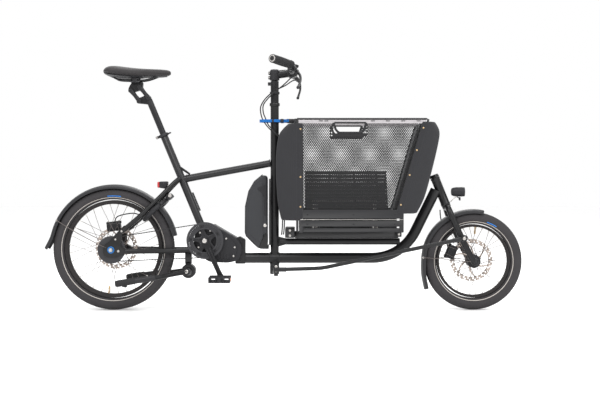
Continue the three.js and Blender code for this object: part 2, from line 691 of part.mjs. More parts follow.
function steeringArm() {
  const { x } = COLUMN;
  const clamp = bar(point(x, 0, 148), point(x, 0, COLUMN.bottom - 1), 20, 14);
  const arm = bar(point(x, 0, 158), point(REAR_BALL.x, REAR_BALL.y + 4, 158), 8, 10);
  const pin = bar(point(REAR_BALL.x, REAR_BALL.y, 153), point(REAR_BALL.x, REAR_BALL.y, 194), 4, 12);
  const seat = bar(point(REAR_BALL.x, REAR_BALL.y, 150), point(REAR_BALL.x, REAR_BALL.y, 166), 9, 12);
  const bore = bar(point(x, 0, 120), point(x, 0, 200), 12.5 + GAP, 14);
  return cut(join(clamp, arm, pin, seat), bore);
}

function tieRod() {
  const bend = point(860, -106.5, 181);
  const towards = FORK_BALL.clone().sub(bend).normalize();
  const end = FORK_BALL.clone().addScaledVector(towards, -12);
  const rod = join(
    bar(REAR_BALL.clone().add(point(8, 0, 0)), bend, TIE_ROD_R, 12),
    bar(bend, end, TIE_ROD_R, 12),
    bar(bend.clone().add(point(0, -7.9, 0)), bend.clone().add(point(0, 7.9, 0)), TIE_ROD_R, 12),
  );
  const eyeRear = bar(REAR_BALL.clone().setZ(168), REAR_BALL.clone().setZ(184), 12, 12);
  const eyeFront = bar(
    FORK_BALL.clone().add(point(0, 4, 0)), FORK_BALL.clone().add(point(0, -4, 0)), 14, 14,
  );
  return cut(
    join(rod, eyeRear, eyeFront),
    bar(REAR_BALL.clone().setZ(100), REAR_BALL.clone().setZ(250), 4.8, 12),
    crossBar(FORK_BALL.x, FORK_BALL.z, -FORK_ARM_Y - 20, -FORK_ARM_Y + 20, 9.6, 14),
  );
}

/** Unicrown fork with its steerer, the axle, and the lug that the tie rod pulls on. */
function fork() {
  const blade = (side) => onSide(side, bentTube([
    point(1387.5, -1, 422), point(1387.5, 28, 424), point(1393, 43, 408), point(1408, 48, 372),
    point(1442, 54, 296), point(1478, 58, 222), point(1494, 58.5, 196),
  ], 13, 8, 8));
  const steerer = bar(headPoint(-14), headPoint(132), 12.5, 14);
  const crownRace = bar(headPoint(-16), headPoint(-2.6), 18.5, 12);
  const cap = bar(headPoint(119), headPoint(132), 17, 14);
  const tips = [RIGHT, LEFT].map((side) => (
    crossBar(FRONT_WHEEL.x, FRONT_WHEEL.z, side * 50.5, side * 62, 17, 14)
  ));
  const axle = crossBar(FRONT_WHEEL.x, FRONT_WHEEL.z, -60, 60, 5, 12);
  const lug = bar(point(1439, -60, 303), point(FORK_BALL.x, -FORK_ARM_Y - 8, 303), 4.5, 12);
  const lugFoot = bar(point(1440, -56, 304), point(1440, -88, 303), 10, 12);
  return cut(
    join(blade(RIGHT), blade(LEFT), steerer, crownRace, cap, ...tips, axle, lug, lugFoot),
    washer(FRONT_WHEEL.x, FRONT_WHEEL.z, 5, 27, -50, 50, 14),
  );
}

function frontLight() {
  const lamp = plate([
    [1407, 505], [1405, 482], [1412, 474], [1452, 470], [1462, 478], [1463, 498], [1440, 510],
  ], -25, 25);
  const bracket = join(
    bar(point(1424, 0, 478), point(1422, 0, 464), 5, 8),
    bar(point(1424, 0, 466), point(1403, 0, 448), 3.4, 8),
  );
  return join(lamp, bracket);
}

// ---- battery ------------------------------------------------------------------------------------
function batteryPack() {
  const outline = [
    [642, 556], [642, 262], [640, 254], [606, 254], [592, 264], [552, 304], [546, 322], [547, 430],
    [561, 492], [584, 533], [618, 562],
  ];
  const grip = plate([[604, 500], [618, 530], [632, 530], [632, 470], [612, 470]], -60, -34);
  return cut(plate(outline, -44, 44), grip, grip.mirror([0, 1, 0]));
}

// ---- basket -------------------------------------------------------------------------------------
const frontEdgeX = (z) => (
  BASKET.frontLowX + (BASKET.frontTopX - BASKET.frontLowX)
  * (z - BASKET.frontLowZ) / (BASKET.topZ - BASKET.frontLowZ)
);

/** Side wall: a perforated sheet in a rim, on a deep bottom rail. y is measured outwards. */
function basketSide(side) {
  const { rearX, topZ, bottomZ, railTopZ, frontTopX, frontLowX, frontLowZ } = BASKET;
  const outline = [
    [rearX, bottomZ], [rearX, topZ], [frontTopX, topZ], [frontLowX, frontLowZ], [frontLowX, bottomZ],
  ];
  const window = [
    [rearX + 12, railTopZ], [rearX + 12, topZ - 14], [frontEdgeX(topZ - 14) - 12, topZ - 14],
    [frontEdgeX(frontLowZ) - 12, frontLowZ], [frontEdgeX(frontLowZ) - 12, railTopZ],
  ];
  const rim = cut(plate(outline, 131, 141), plate(window, 120, 150));
  const sheet = plate([
    [rearX + 6, railTopZ - 6], [rearX + 6, topZ - 6], [frontTopX - 12, topZ - 6],
    [frontLowX - 6, frontLowZ], [frontLowX - 6, railTopZ - 6],
  ], 135, 138);
  const handle = boxBetween([917, 120, 735], [1033, 150, 770]);
  const hinge = [860, 1060].map((x) => join(
    bar(point(x, BASKET.foldedY, BASKET.hingeZ), point(x + 24, BASKET.foldedY, BASKET.hingeZ), 4.5, 10),
    boxBetween([x, BASKET.foldedY, BASKET.hingeZ - 4], [x + 24, 132, BASKET.hingeZ + 4]),
  ));
  return onSide(side, join(cut(join(rim, sheet), handle), ...hinge));
}

/** Point on one half of the folded floor: `along` from the ridge, `above` the hinge line. */
function floorPoint(x, along, above) {
  return point(
    x,
    along * Math.cos(FOLD) + above * Math.sin(FOLD),
    BASKET.hingeZ + (BASKET.floorHalf - along) * Math.sin(FOLD) + above * Math.cos(FOLD),
  );
}

const FLOOR_LOW = 6;
const FLOOR_HIGH = 11;

function floorHalf(side) {
  const { floorHalf: width, floorRearX, floorFrontX } = BASKET;
  const corners = (x) => [
    floorPoint(x, 1, FLOOR_LOW), floorPoint(x, width - 22, FLOOR_LOW),
    floorPoint(x, width - 22, FLOOR_HIGH), floorPoint(x, 1, FLOOR_HIGH),
  ];
  const board = loft([corners(floorRearX), corners(floorFrontX)]);
  const knuckles = [888, 1034].map((x) => join(
    bar(floorPoint(x, width, 0), floorPoint(x + 22, width, 0), 4.5, 10),
    loft([x, x + 22].map((end) => [
      floorPoint(end, width - 32, FLOOR_LOW + 2), floorPoint(end, width - 1, -3),
      floorPoint(end, width + 1, 3), floorPoint(end, width - 26, FLOOR_HIGH - 1),
    ])),
  ));
  return onSide(side, join(board, ...knuckles));
}

/** Two bars from the middle hinge to the centre of a floor half, tied by the pin they carry. */
function floorStrut(side) {
  const middle = BASKET.floorHalf / 2;
  const shift = side === RIGHT ? 0 : 14;
  const foot = (x) => point(x + shift, 0, BASKET.hingeZ);
  const head = (x) => point(
    x + shift,
    middle * Math.cos(FOLD),
    BASKET.hingeZ + middle * Math.sin(FOLD),
  );
  const stations = [830, 1080];
  const bars = stations.map((x) => join(
    bar(foot(x), head(x), 5, 8),
    bar(foot(x).add(point(-6, 0, 0)), foot(x).add(point(6, 0, 0)), 5.6, 12),
  ));
  return onSide(side, join(...bars, bar(head(stations[0]), head(stations[1]), 4.2, 10)));
}

function basketBase() {
  const beam = boxBetween([752, -18, 297], [1184, 18, 327]);
  const ends = [boxBetween([712, -58, 300], [753, 58, 344]), boxBetween([1172, -34, 303], [1196, 34, 327])];
  const pinPosts = [818, 1068].map((x) => (
    join(boxBetween([x - 3, -6, 320], [x + 3, 6, 342]), boxBetween([x + 34, -6, 320], [x + 40, 6, 342]))
  ));
  return cut(join(beam, ...ends, ...pinPosts), mainTubeShape(GAP), columnShape(1));
}

/** Folded corner of a textile end wall: seen from above, a V with its crease outside the basket. */
function gusset(side, front) {
  const layer = side === RIGHT ? 0 : 7;
  const [edge, crease, inner, thick] = front ? [2, 50, -13 - layer, -4] : [-2, -78, 12 + layer, 4];
  const outline = [
    [edge, 130], [crease, 112], [inner, 42], [inner, -38],
    [inner + thick, -38], [inner + thick, 40], [crease + 1.6 * thick, 110], [edge, 126],
  ];
  const slope = front ? frontEdgeX(1) - frontEdgeX(0) : 0;
  const footX = front ? frontEdgeX(0) : BASKET.rearX;
  const shear = new THREE.Matrix4().set(1, 0, slope, footX, 0, 1, 0, 0, 0, 0, 1, 0, 0, 0, 0, 1);
  const upright = slab(outline, front ? 402 : 374, BASKET.topZ - 14);
  return onSide(side, upright.transform(shear.elements));
}

function basketStrap() {
  const band = (offset) => {
    const points = [];
    for (let i = 0; i <= 12; i += 1) {
      const angle = radians(90 + 15 * i);
      points.push([640 + (34 + offset) * Math.cos(angle), (28 + offset) * Math.sin(angle)]);
    }
    return [[728, 28 + offset], ...points, [728, -28 - offset]];
  };
  const loop = cut(slab(band(0), 779, 791), slab(band(-2.4), 700, 800).translate([0.01, 0, 0]));
  const anchor = boxBetween([716, -30, 776], [752, 30, 794]);
  return cut(join(loop, anchor), boxBetween([700, -25.6, 700], [716, 25.6, 800]));
}

// ---- hoses --------------------------------------------------------------------------------------
const FRONT_HOSE = [
  [758, 128, 968], [742, 98, 962], [712, 56, 938], [668, 32, 914], [632, 14, 882], [612, -4, 848],
  [611, -8, 820], [620, -10, 790], [644, -20, 756], [676, -25, 728], [699, -31, 700], [704, -33, 620],
  [704, -33, 480], [702, -30, 360], [698, -22, 312],
];
const REAR_HOSE = [
  [758, -128, 968], [742, -98, 960], [708, -54, 932], [668, -29, 902], [640, -18, 876], [622, -13, 850],
  [622, -16, 820], [630, -17, 798], [642, -20, 770], [660, -32, 748], [684, -36, 720], [706, -42, 690], [712, -43, 620],
  [712, -43, 480], [710, -38, 360], [706, -26, 314],
];
const hose = (route) => bentTube(route.map((at) => point(...at)), 2.6, 8, 30);

// ---- assembly -----------------------------------------------------------------------------------
const layout = new THREE.Group();

function add(name, body, look) {
  const [color, roughness, metalness] = LOOKS[look];
  const mesh = new THREE.Mesh(geometryOf(body), new THREE.MeshStandardMaterial({ color, roughness, metalness }));
  mesh.name = name;
  layout.add(mesh);
}

add('main_tube', mainTube(), 'frame');
add('cargo_rail', cargoRail(), 'frame');
add('steering_column', steeringColumn(), 'frame');
add('seat_tube', seatTube(), 'frame');
add('top_tube', topTube(), 'frame');
add('front_head_tube', frontHeadTube(), 'frame');
add('drive_unit', driveUnit(), 'black');
add('battery_pack', batteryPack(), 'black');
add('drive_belt', driveBelt(), 'rubber');
add('crank_arms', crankArms(), 'black');
add('belt_chainring', beltChainring(), 'black');
add('rear_sprocket', rearSprocket(), 'black');
add('rear_wheel', wheel(REAR_WHEEL, 49, 62, 30, 40, 5), 'alloy');
add('rear_tyre', tyre(REAR_WHEEL), 'rubber');
add('front_wheel', wheel(FRONT_WHEEL, 49, 49, 24, 24, 5), 'alloy');
add('front_tyre', tyre(FRONT_WHEEL), 'rubber');
add('rear_mudguard', rearMudguard(), 'black');
add('front_mudguard', frontMudguard(), 'black');
add('rear_light', rearLight(), 'black');
add('front_light', frontLight(), 'black');
add('ring_lock_body', ringLockBody(), 'black');
add('ring_lock_shackle', ringLockShackle(), 'steel');
add('stand_bracket', standBracket(), 'frame');
add('rear_caliper', rearCaliper(), 'black');
add('front_caliper', frontCaliper(), 'black');
add('seat_clamp', seatClamp(), 'alloy');
add('seatpost_tube', seatpostTube(), 'black');
add('seatpost_link_front', seatpostLink(false), 'black');
add('seatpost_link_rear', seatpostLink(true), 'black');
add('seatpost_head', seatpostHead(), 'black');
add('saddle', saddle(), 'black');
add('steerer_shaft', steererShaft(), 'black');
add('stem', stem(), 'black');
add('handlebar', handlebar(), 'black');
add('display_unit', displayUnit(), 'black');
add('steering_arm', steeringArm(), 'frame');
add('tie_rod', tieRod(), 'frame');
add('fork', fork(), 'frame');
add('basket_base', basketBase(), 'alloy');
add('basket_strap', basketStrap(), 'strap');
add('front_brake_hose', hose(FRONT_HOSE), 'rubber');
add('rear_brake_hose', hose(REAR_HOSE), 'rubber');
for (const [word, side] of [['right', RIGHT], ['left', LEFT]]) {
  add(`rear_stays_${word}`, rearStays(side), 'frame');
  add(`stand_leg_${word}`, standLeg(side), 'black');
  add(`pedal_${word}`, pedal(side), 'black');
  add(`brake_lever_${word}`, brakeLever(side), 'alloy');
  add(`basket_side_${word}`, basketSide(side), 'alloy');
  add(`basket_floor_${word}`, floorHalf(side), 'alloy');
  add(`floor_strut_${word}`, floorStrut(side), 'steel');
  add(`gusset_rear_${word}`, gusset(side, false), 'fabric');
  add(`gusset_front_${word}`, gusset(side, true), 'fabric');
}

/** Centred on the whole bicycle's length, standing on z = 0. */
const bounds = new THREE.Box3().setFromObject(layout);
layout.position.x = -(bounds.min.x + bounds.max.x) / 2;

const bicycle = new THREE.Group();
bicycle.add(layout);

export default bicycle;
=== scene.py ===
"""Looks of a compact cargo bicycle with a folding basket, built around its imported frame.

Points are in millimetres from the rear axle, +X forward and +Z up from the ground, with the drive
side at -Y. place() turns them into the frame's metres.
"""
import math

import bmesh
import bpy
from mathutils import Matrix, Vector


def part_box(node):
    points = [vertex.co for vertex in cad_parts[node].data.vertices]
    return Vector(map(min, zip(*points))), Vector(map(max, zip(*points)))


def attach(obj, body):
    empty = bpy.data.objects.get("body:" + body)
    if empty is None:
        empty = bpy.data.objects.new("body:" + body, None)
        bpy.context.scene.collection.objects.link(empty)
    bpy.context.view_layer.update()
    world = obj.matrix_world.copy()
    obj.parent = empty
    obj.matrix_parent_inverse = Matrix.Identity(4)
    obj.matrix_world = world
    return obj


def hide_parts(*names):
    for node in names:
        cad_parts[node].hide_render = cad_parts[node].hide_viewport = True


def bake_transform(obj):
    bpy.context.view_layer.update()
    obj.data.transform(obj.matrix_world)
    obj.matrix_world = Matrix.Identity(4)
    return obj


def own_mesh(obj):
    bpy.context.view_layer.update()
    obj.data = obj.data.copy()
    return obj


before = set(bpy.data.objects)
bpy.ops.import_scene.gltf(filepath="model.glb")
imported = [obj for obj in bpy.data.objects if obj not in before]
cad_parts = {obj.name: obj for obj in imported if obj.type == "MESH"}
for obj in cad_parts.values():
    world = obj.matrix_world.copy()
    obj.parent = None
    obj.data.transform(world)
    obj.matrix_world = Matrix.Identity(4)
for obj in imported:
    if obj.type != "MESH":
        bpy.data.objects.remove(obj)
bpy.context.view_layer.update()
REAR_LOW, REAR_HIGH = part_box("rear_tyre")
ORIGIN_X = (REAR_LOW.x + REAR_HIGH.x) / 2
RIGHT, LEFT = -1, 1
WORDS = {RIGHT: "right", LEFT: "left"}

REAR = {"x": 0, "z": 253, "tyre": 253, "width": 54, "bead": 203, "rim": 186, "rotor_y": 56, "flange": 30,
        "flange_r": 40, "body": "rear_wheel"}
FRONT = {"x": 1495, "z": 203, "tyre": 203, "width": 50, "bead": 152.5, "rim": 141, "rotor_y": 38,
         "flange": 24,
         "flange_r": 24, "body": "front_wheel"}
CRANK = Vector((384, 0, 291))
CRANK_LENGTH = 165
CRANK_LEAN = math.radians(24.2)
BELT = {"front": 69.5, "rear": 47.5, "y": -56.5, "width": 12}
COLUMN_X = 669
HINGE_Z = 335
FOLD = math.acos(125 / 270)


def place(point):
    x, y, z = point
    return Vector((ORIGIN_X + x / 1000, y / 1000, z / 1000))


# ---- shapes: each is (points, faces) ------------------------------------------------------------
def smooth_path(points, steps=6):
    """Catmull-Rom curve through the points."""
    points = [Vector(p) for p in points]
    out = []
    for i in range(len(points) - 1):
        a, b = points[i], points[i + 1]
        before = points[max(i - 1, 0)]
        after = points[min(i + 2, len(points) - 1)]
        for k in range(steps):
            t = k / steps
            out.append(0.5 * (
                2 * a + (b - before) * t
                + (2 * before - 5 * a + 4 * b - after) * t ** 2
                + (3 * a - before - 3 * b + after) * t ** 3
            ))
    out.append(points[-1])
    return out


def skin(rings, closed=False, caps=True):
    """Faces between rings of the same number of points. closed joins the last ring to the first."""
    size = len(rings[0])
    points = [Vector(p) for ring in rings for p in ring]
    faces = []
    last = len(rings) if closed else len(rings) - 1
    for i in range(last):
        here, there = i * size, ((i + 1) % len(rings)) * size
        for k in range(size):
            after = (k + 1) % size
            faces.append((here + k, here + after, there + after, there + k))
    if caps and not closed:
        faces.append(tuple(reversed(range(size))))
        faces.append(tuple(range((len(rings) - 1) * size, len(rings) * size)))
    return points, faces


def tube(path, radius, sides=18, closed=False, flat=1.0):
    """Round bar along a path. radius may be a list as long as the path; flat narrows it sideways."""
    path = [Vector(p) for p in path]
    count = len(path)
    radii = radius if isinstance(radius, list) else [radius] * count
    normal = None
    rings = []
    for i, p in enumerate(path):
        ahead = path[(i + 1) % count] if closed or i < count - 1 else p
        behind = path[i - 1] if closed or i > 0 else p
        along = (ahead - behind).normalized()
        if normal is None:
            helper = Vector((0, 1, 0)) if abs(along.y) < 0.9 else Vector((0, 0, 1))
            normal = along.cross(helper)
        normal = (normal - along * normal.dot(along)).normalized()
        side = along.cross(normal)
        ring = []
        for k in range(sides):
            turn = 2 * math.pi * k / sides
            ring.append(p + radii[i] * (math.cos(turn) * normal + flat * math.sin(turn) * side))
        rings.append(ring)
    return skin(rings, closed)


def turned(p, q, profile, sides=32, closed=False):
    """Shape turned about the line from p towards q. profile holds (distance along it, radius)."""
    p, q = Vector(p), Vector(q)
    along = (q - p).normalized()
    helper = Vector((0, 1, 0)) if abs(along.y) < 0.9 else Vector((0, 0, 1))
    normal = along.cross(helper).normalized()
    side = along.cross(normal)
    rings = []
    for distance, radius in profile:
        ring = []
        for k in range(sides):
            turn = 2 * math.pi * k / sides
            ring.append(p + distance * along + radius * (math.cos(turn) * normal + math.sin(turn) * side))
        rings.append(ring)
    return skin(rings, closed)


def rod(p, q, radius, sides=24, edge=0.8):
    """Straight bar with softened ends."""
    length = (Vector(q) - Vector(p)).length
    return turned(p, q, [(0, radius - edge), (edge, radius), (length - edge, radius),
                         (length, radius - edge)], sides)


def about(wheel, profile, sides=96, closed=True):
    """Shape turned about a wheel's axle. profile holds (y, radius)."""
    centre = Vector((wheel["x"], 0, wheel["z"]))
    return turned(centre, centre + Vector((0, 1, 0)), profile, sides, closed)


def cross_rod(x, z, y0, y1, radius, sides=24, edge=0.8):
    return rod((x, y0, z), (x, y1, z), radius, sides, edge)


def rounded(outline, radius, steps=5):
    """Outline with its corners rounded off."""
    corners = [Vector(p) for p in outline]
    out = []
    for i, corner in enumerate(corners):
        before = corners[i - 1] - corner
        after = corners[(i + 1) % len(corners)] - corner
        a = corner + before.normalized() * min(radius, 0.45 * before.length)
        b = corner + after.normalized() * min(radius, 0.45 * after.length)
        for k in range(steps + 1):
            t = k / steps
            out.append((1 - t) ** 2 * a + 2 * t * (1 - t) * corner + t * t * b)
    return [tuple(p) for p in out]


def prism(outline, y0, y1, edge=0.0, steps=3):
    """Outline in the XZ plane, drawn out from y0 to y1, with its edges rounded by `edge`."""
    corners = [Vector(p) for p in outline]
    area = sum(a.x * b.y - b.x * a.y for a, b in zip(corners, corners[1:] + corners[:1]))
    sign = 1 if area > 0 else -1
    inward = []
    for i in range(len(corners)):
        d = (corners[(i + 1) % len(corners)] - corners[i - 1]).normalized()
        inward.append(Vector((-d.y, d.x)) * sign)
    levels = [(y0, 0), (y1, 0)]
    if edge:
        turns = [math.pi / 2 * k / steps for k in range(steps + 1)]
        levels = [(y0 + edge * (1 - math.sin(t)), edge * (1 - math.cos(t))) for t in reversed(turns)]
        levels += [(y1 - edge * (1 - math.sin(t)), edge * (1 - math.cos(t))) for t in turns]
    rings = []
    for y, inset in levels:
        rings.append([
            Vector((c.x + n.x * inset, y, c.y + n.y * inset)) for c, n in zip(corners, inward)
        ])
    return skin(rings)


def block(centre, size, pitch=0.0, edge=1.5, corner=2.0):
    """Softened box, turned about Y by `pitch` degrees."""
    half_x, half_y, half_z = (s / 2 for s in size)
    outline = rounded([(-half_x, -half_z), (half_x, -half_z), (half_x, half_z), (-half_x, half_z)], corner, 3)
    points, faces = prism(outline, -half_y, half_y, min(edge, 0.45 * half_y), 2)
    turn = math.radians(pitch)
    out = []
    for p in points:
        x = p.x * math.cos(turn) + p.z * math.sin(turn)
        z = -p.x * math.sin(turn) + p.z * math.cos(turn)
        out.append(Vector(centre) + Vector((x, p.y, z)))
    return out, faces


def bolt(p, direction, radius=4.0, height=4.0):
    """Socket bolt head: domed rim with a hexagonal recess."""
    p = Vector(p)
    profile = [(0, radius), (height * 0.7, radius), (height, radius * 0.82), (height, radius * 0.5),
               (height * 0.3, radius * 0.5), (height * 0.3, 0.05)]
    return turned(p, p + Vector(direction), profile, 18)


def mirrored(shape):
    points, faces = shape
    return [Vector((p.x, -p.y, p.z)) for p in points], [tuple(reversed(f)) for f in faces]


def on_side(side, *shapes):
    """Shapes drawn for the left side, or their mirror images on the right."""
    return [shape if side == LEFT else mirrored(shape) for shape in shapes]


def both(*shapes):
    return [*shapes, *(mirrored(shape) for shape in shapes)]


def piece(name, body, slot, material, *shapes, replaces=(), smooth=38, subdivide=0):
    """One visible piece made of closed shapes. It moves with the body, unless the body is None."""
    points, faces = [], []
    for shape_points, shape_faces in shapes:
        start = len(points)
        points.extend(place(p) for p in shape_points)
        faces.extend(tuple(start + i for i in face) for face in shape_faces)
    mesh = bpy.data.meshes.new(name)
    mesh.from_pydata(points, [], faces)
    mesh.validate()
    bm = bmesh.new()
    bm.from_mesh(mesh)
    bmesh.ops.recalc_face_normals(bm, faces=bm.faces)
    bm.to_mesh(mesh)
    bm.free()
    mesh.polygons.foreach_set("use_smooth", [True] * len(mesh.polygons))
    mesh.set_sharp_from_angle(angle=math.radians(smooth))
    mesh.materials.append(material)
    obj = bpy.data.objects.new(name, mesh)
    bpy.context.scene.collection.objects.link(obj)
    if subdivide:
        modifier = obj.modifiers.new("Smooth", "SUBSURF")
        modifier.levels = subdivide
        modifier.render_levels = subdivide
    if body:
        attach(obj, body)
    if replaces:
        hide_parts(*replaces)
    return obj


# ---- materials ----------------------------------------------------------------------------------
def surface(name, colour, rough, metallic=0.0, tint=0.12, patch=25, grain=0, depth=0.0, spread=0.06,
            worn=None, coat=0.0, sheen=0.0, weave=0.0, glow=0.0):
    """Material from noise: colour patches, uneven roughness, a fine grain or weave, and worn edges."""
    material = bpy.data.materials.new(name)
    material.use_nodes = True
    nodes, links = material.node_tree.nodes, material.node_tree.links
    shader = nodes["Principled BSDF"]
    shader.inputs["Metallic"].default_value = metallic
    shader.inputs["Coat Weight"].default_value = coat
    shader.inputs["Coat Roughness"].default_value = 0.18
    shader.inputs["Sheen Weight"].default_value = sheen
    shader.inputs["Specular IOR Level"].default_value = 0.5 if metallic > 0.5 or coat > 0.5 else 0.22
    place_on = nodes.new("ShaderNodeTexCoord").outputs["Object"]

    patches = nodes.new("ShaderNodeTexNoise")
    patches.inputs["Scale"].default_value = patch
    patches.inputs["Detail"].default_value = 6
    links.new(place_on, patches.inputs["Vector"])
    blend = nodes.new("ShaderNodeMix")
    blend.data_type = "RGBA"
    blend.inputs["A"].default_value = (*(c * (1 - tint) for c in colour), 1)
    blend.inputs["B"].default_value = (*(min(1, c * (1 + tint)) for c in colour), 1)
    links.new(patches.outputs["Fac"], blend.inputs["Factor"])
    colour_out = blend.outputs["Result"]

    uneven = nodes.new("ShaderNodeMapRange")
    uneven.inputs["To Min"].default_value = max(0.02, rough - spread)
    uneven.inputs["To Max"].default_value = min(1, rough + spread)
    links.new(patches.outputs["Fac"], uneven.inputs["Value"])
    links.new(uneven.outputs["Result"], shader.inputs["Roughness"])

    height = None
    if weave:
        bands = []
        for direction in ("X", "Z", "Y"):
            wave = nodes.new("ShaderNodeTexWave")
            wave.bands_direction = direction
            wave.inputs["Scale"].default_value = 2 * math.pi / (20 * weave)
            wave.inputs["Distortion"].default_value = 0.6
            links.new(place_on, wave.inputs["Vector"])
            bands.append(wave.outputs["Fac"])
        threads = nodes.new("ShaderNodeMath")
        threads.operation = "MAXIMUM"
        links.new(bands[0], threads.inputs[0])
        links.new(bands[2], threads.inputs[1])
        cross = nodes.new("ShaderNodeMath")
        cross.operation = "MULTIPLY"
        links.new(threads.outputs[0], cross.inputs[0])
        links.new(bands[1], cross.inputs[1])
        height = cross.outputs[0]
        dark = nodes.new("ShaderNodeMix")
        dark.data_type = "RGBA"
        dark.inputs["B"].default_value = (*(min(1, c * 1.6) for c in colour), 1)
        links.new(height, dark.inputs["Factor"])
        links.new(colour_out, dark.inputs["A"])
        colour_out = dark.outputs["Result"]
    elif grain:
        fine = nodes.new("ShaderNodeTexNoise")
        fine.inputs["Scale"].default_value = grain
        fine.inputs["Detail"].default_value = 3
        links.new(place_on, fine.inputs["Vector"])
        height = fine.outputs["Fac"]
    if height is not None:
        bump = nodes.new("ShaderNodeBump")
        bump.inputs["Strength"].default_value = depth
        bump.inputs["Distance"].default_value = 0.0004
        links.new(height, bump.inputs["Height"])
        links.new(bump.outputs["Normal"], shader.inputs["Normal"])
    if worn:
        shape = nodes.new("ShaderNodeNewGeometry")
        edges = nodes.new("ShaderNodeMapRange")
        edges.inputs["From Min"].default_value = 0.52
        edges.inputs["From Max"].default_value = 0.62
        edges.inputs["To Max"].default_value = 0.5
        links.new(shape.outputs["Pointiness"], edges.inputs["Value"])
        rub = nodes.new("ShaderNodeMix")
        rub.data_type = "RGBA"
        rub.inputs["B"].default_value = (*worn, 1)
        links.new(edges.outputs["Result"], rub.inputs["Factor"])
        links.new(colour_out, rub.inputs["A"])
        colour_out = rub.outputs["Result"]
    links.new(colour_out, shader.inputs["Base Color"])
    if glow:
        shader.inputs["Emission Color"].default_value = (*colour, 1)
        shader.inputs["Emission Strength"].default_value = glow
    return material


PAINT = surface("frame_paint", (0.0075, 0.0075, 0.008), 0.36, patch=9, grain=1400, depth=0.05, coat=0.15,
                worn=(0.03, 0.03, 0.032))
BLACK = surface("black_metal", (0.013, 0.013, 0.014), 0.4, 0.35, patch=30, grain=2600, depth=0.05,
                worn=(0.07, 0.07, 0.075))
PLASTIC = surface("black_plastic", (0.016, 0.016, 0.018), 0.5, patch=18, grain=1700, depth=0.14,
                  worn=(0.035, 0.035, 0.038))
GUARD = surface("mudguard_plastic", (0.02, 0.02, 0.022), 0.42, patch=12, grain=1200, depth=0.06, coat=0.1)
SHELL = surface("battery_shell", (0.028, 0.029, 0.032), 0.46, patch=7, grain=1500, depth=0.1,
                worn=(0.06, 0.06, 0.065))
RUBBER = surface("rubber", (0.02, 0.02, 0.021), 0.72, patch=40, grain=900, depth=0.2)
TYRE = surface("tyre_rubber", (0.036, 0.034, 0.036), 0.86, patch=16, tint=0.2, grain=700, depth=0.3,
               worn=(0.07, 0.065, 0.062))
BAND = surface("reflective_band", (0.42, 0.39, 0.36), 0.45, 0.2, patch=60, grain=2000, depth=0.15)
PATCH = surface("blue_patch", (0.02, 0.19, 0.62), 0.55, patch=50, grain=2000, depth=0.1)
RIM = surface("rim_anodised", (0.022, 0.02, 0.02), 0.6, 0.3, patch=20, grain=1800, depth=0.06)
SPOKE = surface("spoke_steel", (0.12, 0.105, 0.1), 0.34, 0.9, patch=80, grain=3000, depth=0.05)
ROTOR = surface("rotor_steel", (0.42, 0.36, 0.32), 0.3, 1.0, tint=0.25, patch=90, grain=2500, depth=0.1)
STEEL = surface("bright_steel", (0.5, 0.48, 0.46), 0.3, 1.0, patch=60, grain=2600, depth=0.08)
BRASS = surface("brass", (0.5, 0.36, 0.2), 0.35, 1.0, patch=60, grain=2600, depth=0.08)
SHEET = surface("perforated_sheet", (0.02, 0.02, 0.021), 0.5, 0.2, patch=5, tint=0.1, grain=900, depth=0.05)
# Light grey copy of the black perforated sheet material: a painted reflection of the overhead light that the
# glossy black sheet shows
SHEET_PAINTED_REFLECTION = surface("sheet_painted_reflection", (0.44, 0.42, 0.43), 0.4, 0.85, patch=5, tint=0.1, grain=900, depth=0.05)
TRIM = surface("basket_trim", (0.024, 0.024, 0.026), 0.36, 0.3, patch=14, grain=1600, depth=0.05,
               worn=(0.06, 0.06, 0.06))
CLOTH = surface("basket_cloth", (0.017, 0.017, 0.019), 0.82, patch=22, tint=0.25, weave=0.0016, depth=0.45,
                sheen=0.15)
WEBBING = surface("blue_webbing", (0.005, 0.09, 0.3), 0.75, patch=60, weave=0.0011, depth=0.6, sheen=0.1)
LEATHER = surface("saddle_cover", (0.022, 0.02, 0.021), 0.47, patch=30, grain=650, depth=0.22, sheen=0.1)
RED = surface("red_lens", (0.45, 0.012, 0.015), 0.16, patch=30, grain=300, depth=0.3, coat=0.6)
CLEAR = surface("lamp_glass", (0.5, 0.5, 0.52), 0.1, 0.6, patch=40, grain=260, depth=0.4, coat=0.8)
AMBER = surface("amber_reflector", (0.75, 0.2, 0.02), 0.2, patch=60, grain=400, depth=0.4, coat=0.6)
BLUE = surface("blue_ring", (0.02, 0.17, 0.5), 0.3, 0.6, patch=60, grain=2600, depth=0.05)
DISPLAY = surface("display_glass", (0.006, 0.007, 0.009), 0.12, patch=30, grain=2000, depth=0.02, coat=0.9)


# ---- wheels -------------------------------------------------------------------------------------
def ring_point(wheel, radius, angle, y):
    turn = math.radians(angle)
    return Vector((wheel["x"] + radius * math.cos(turn), y, wheel["z"] + radius * math.sin(turn)))


def tread_depth(around, phi, y):
    """How deep the tread is cut at one point: a slotted middle and slanted shoulder blocks."""
    if abs(phi) > 74:
        return 0.0
    if abs(y) < 3.4:
        return 0.7 if (around + 0.5) % 1 < 0.3 else 0.0
    if 4.6 < abs(y) < 7.4:
        return 1.3
    return 1.3 if (around + abs(y) / 24 + (0.5 if y > 0 else 0)) % 1 < 0.34 else 0.0


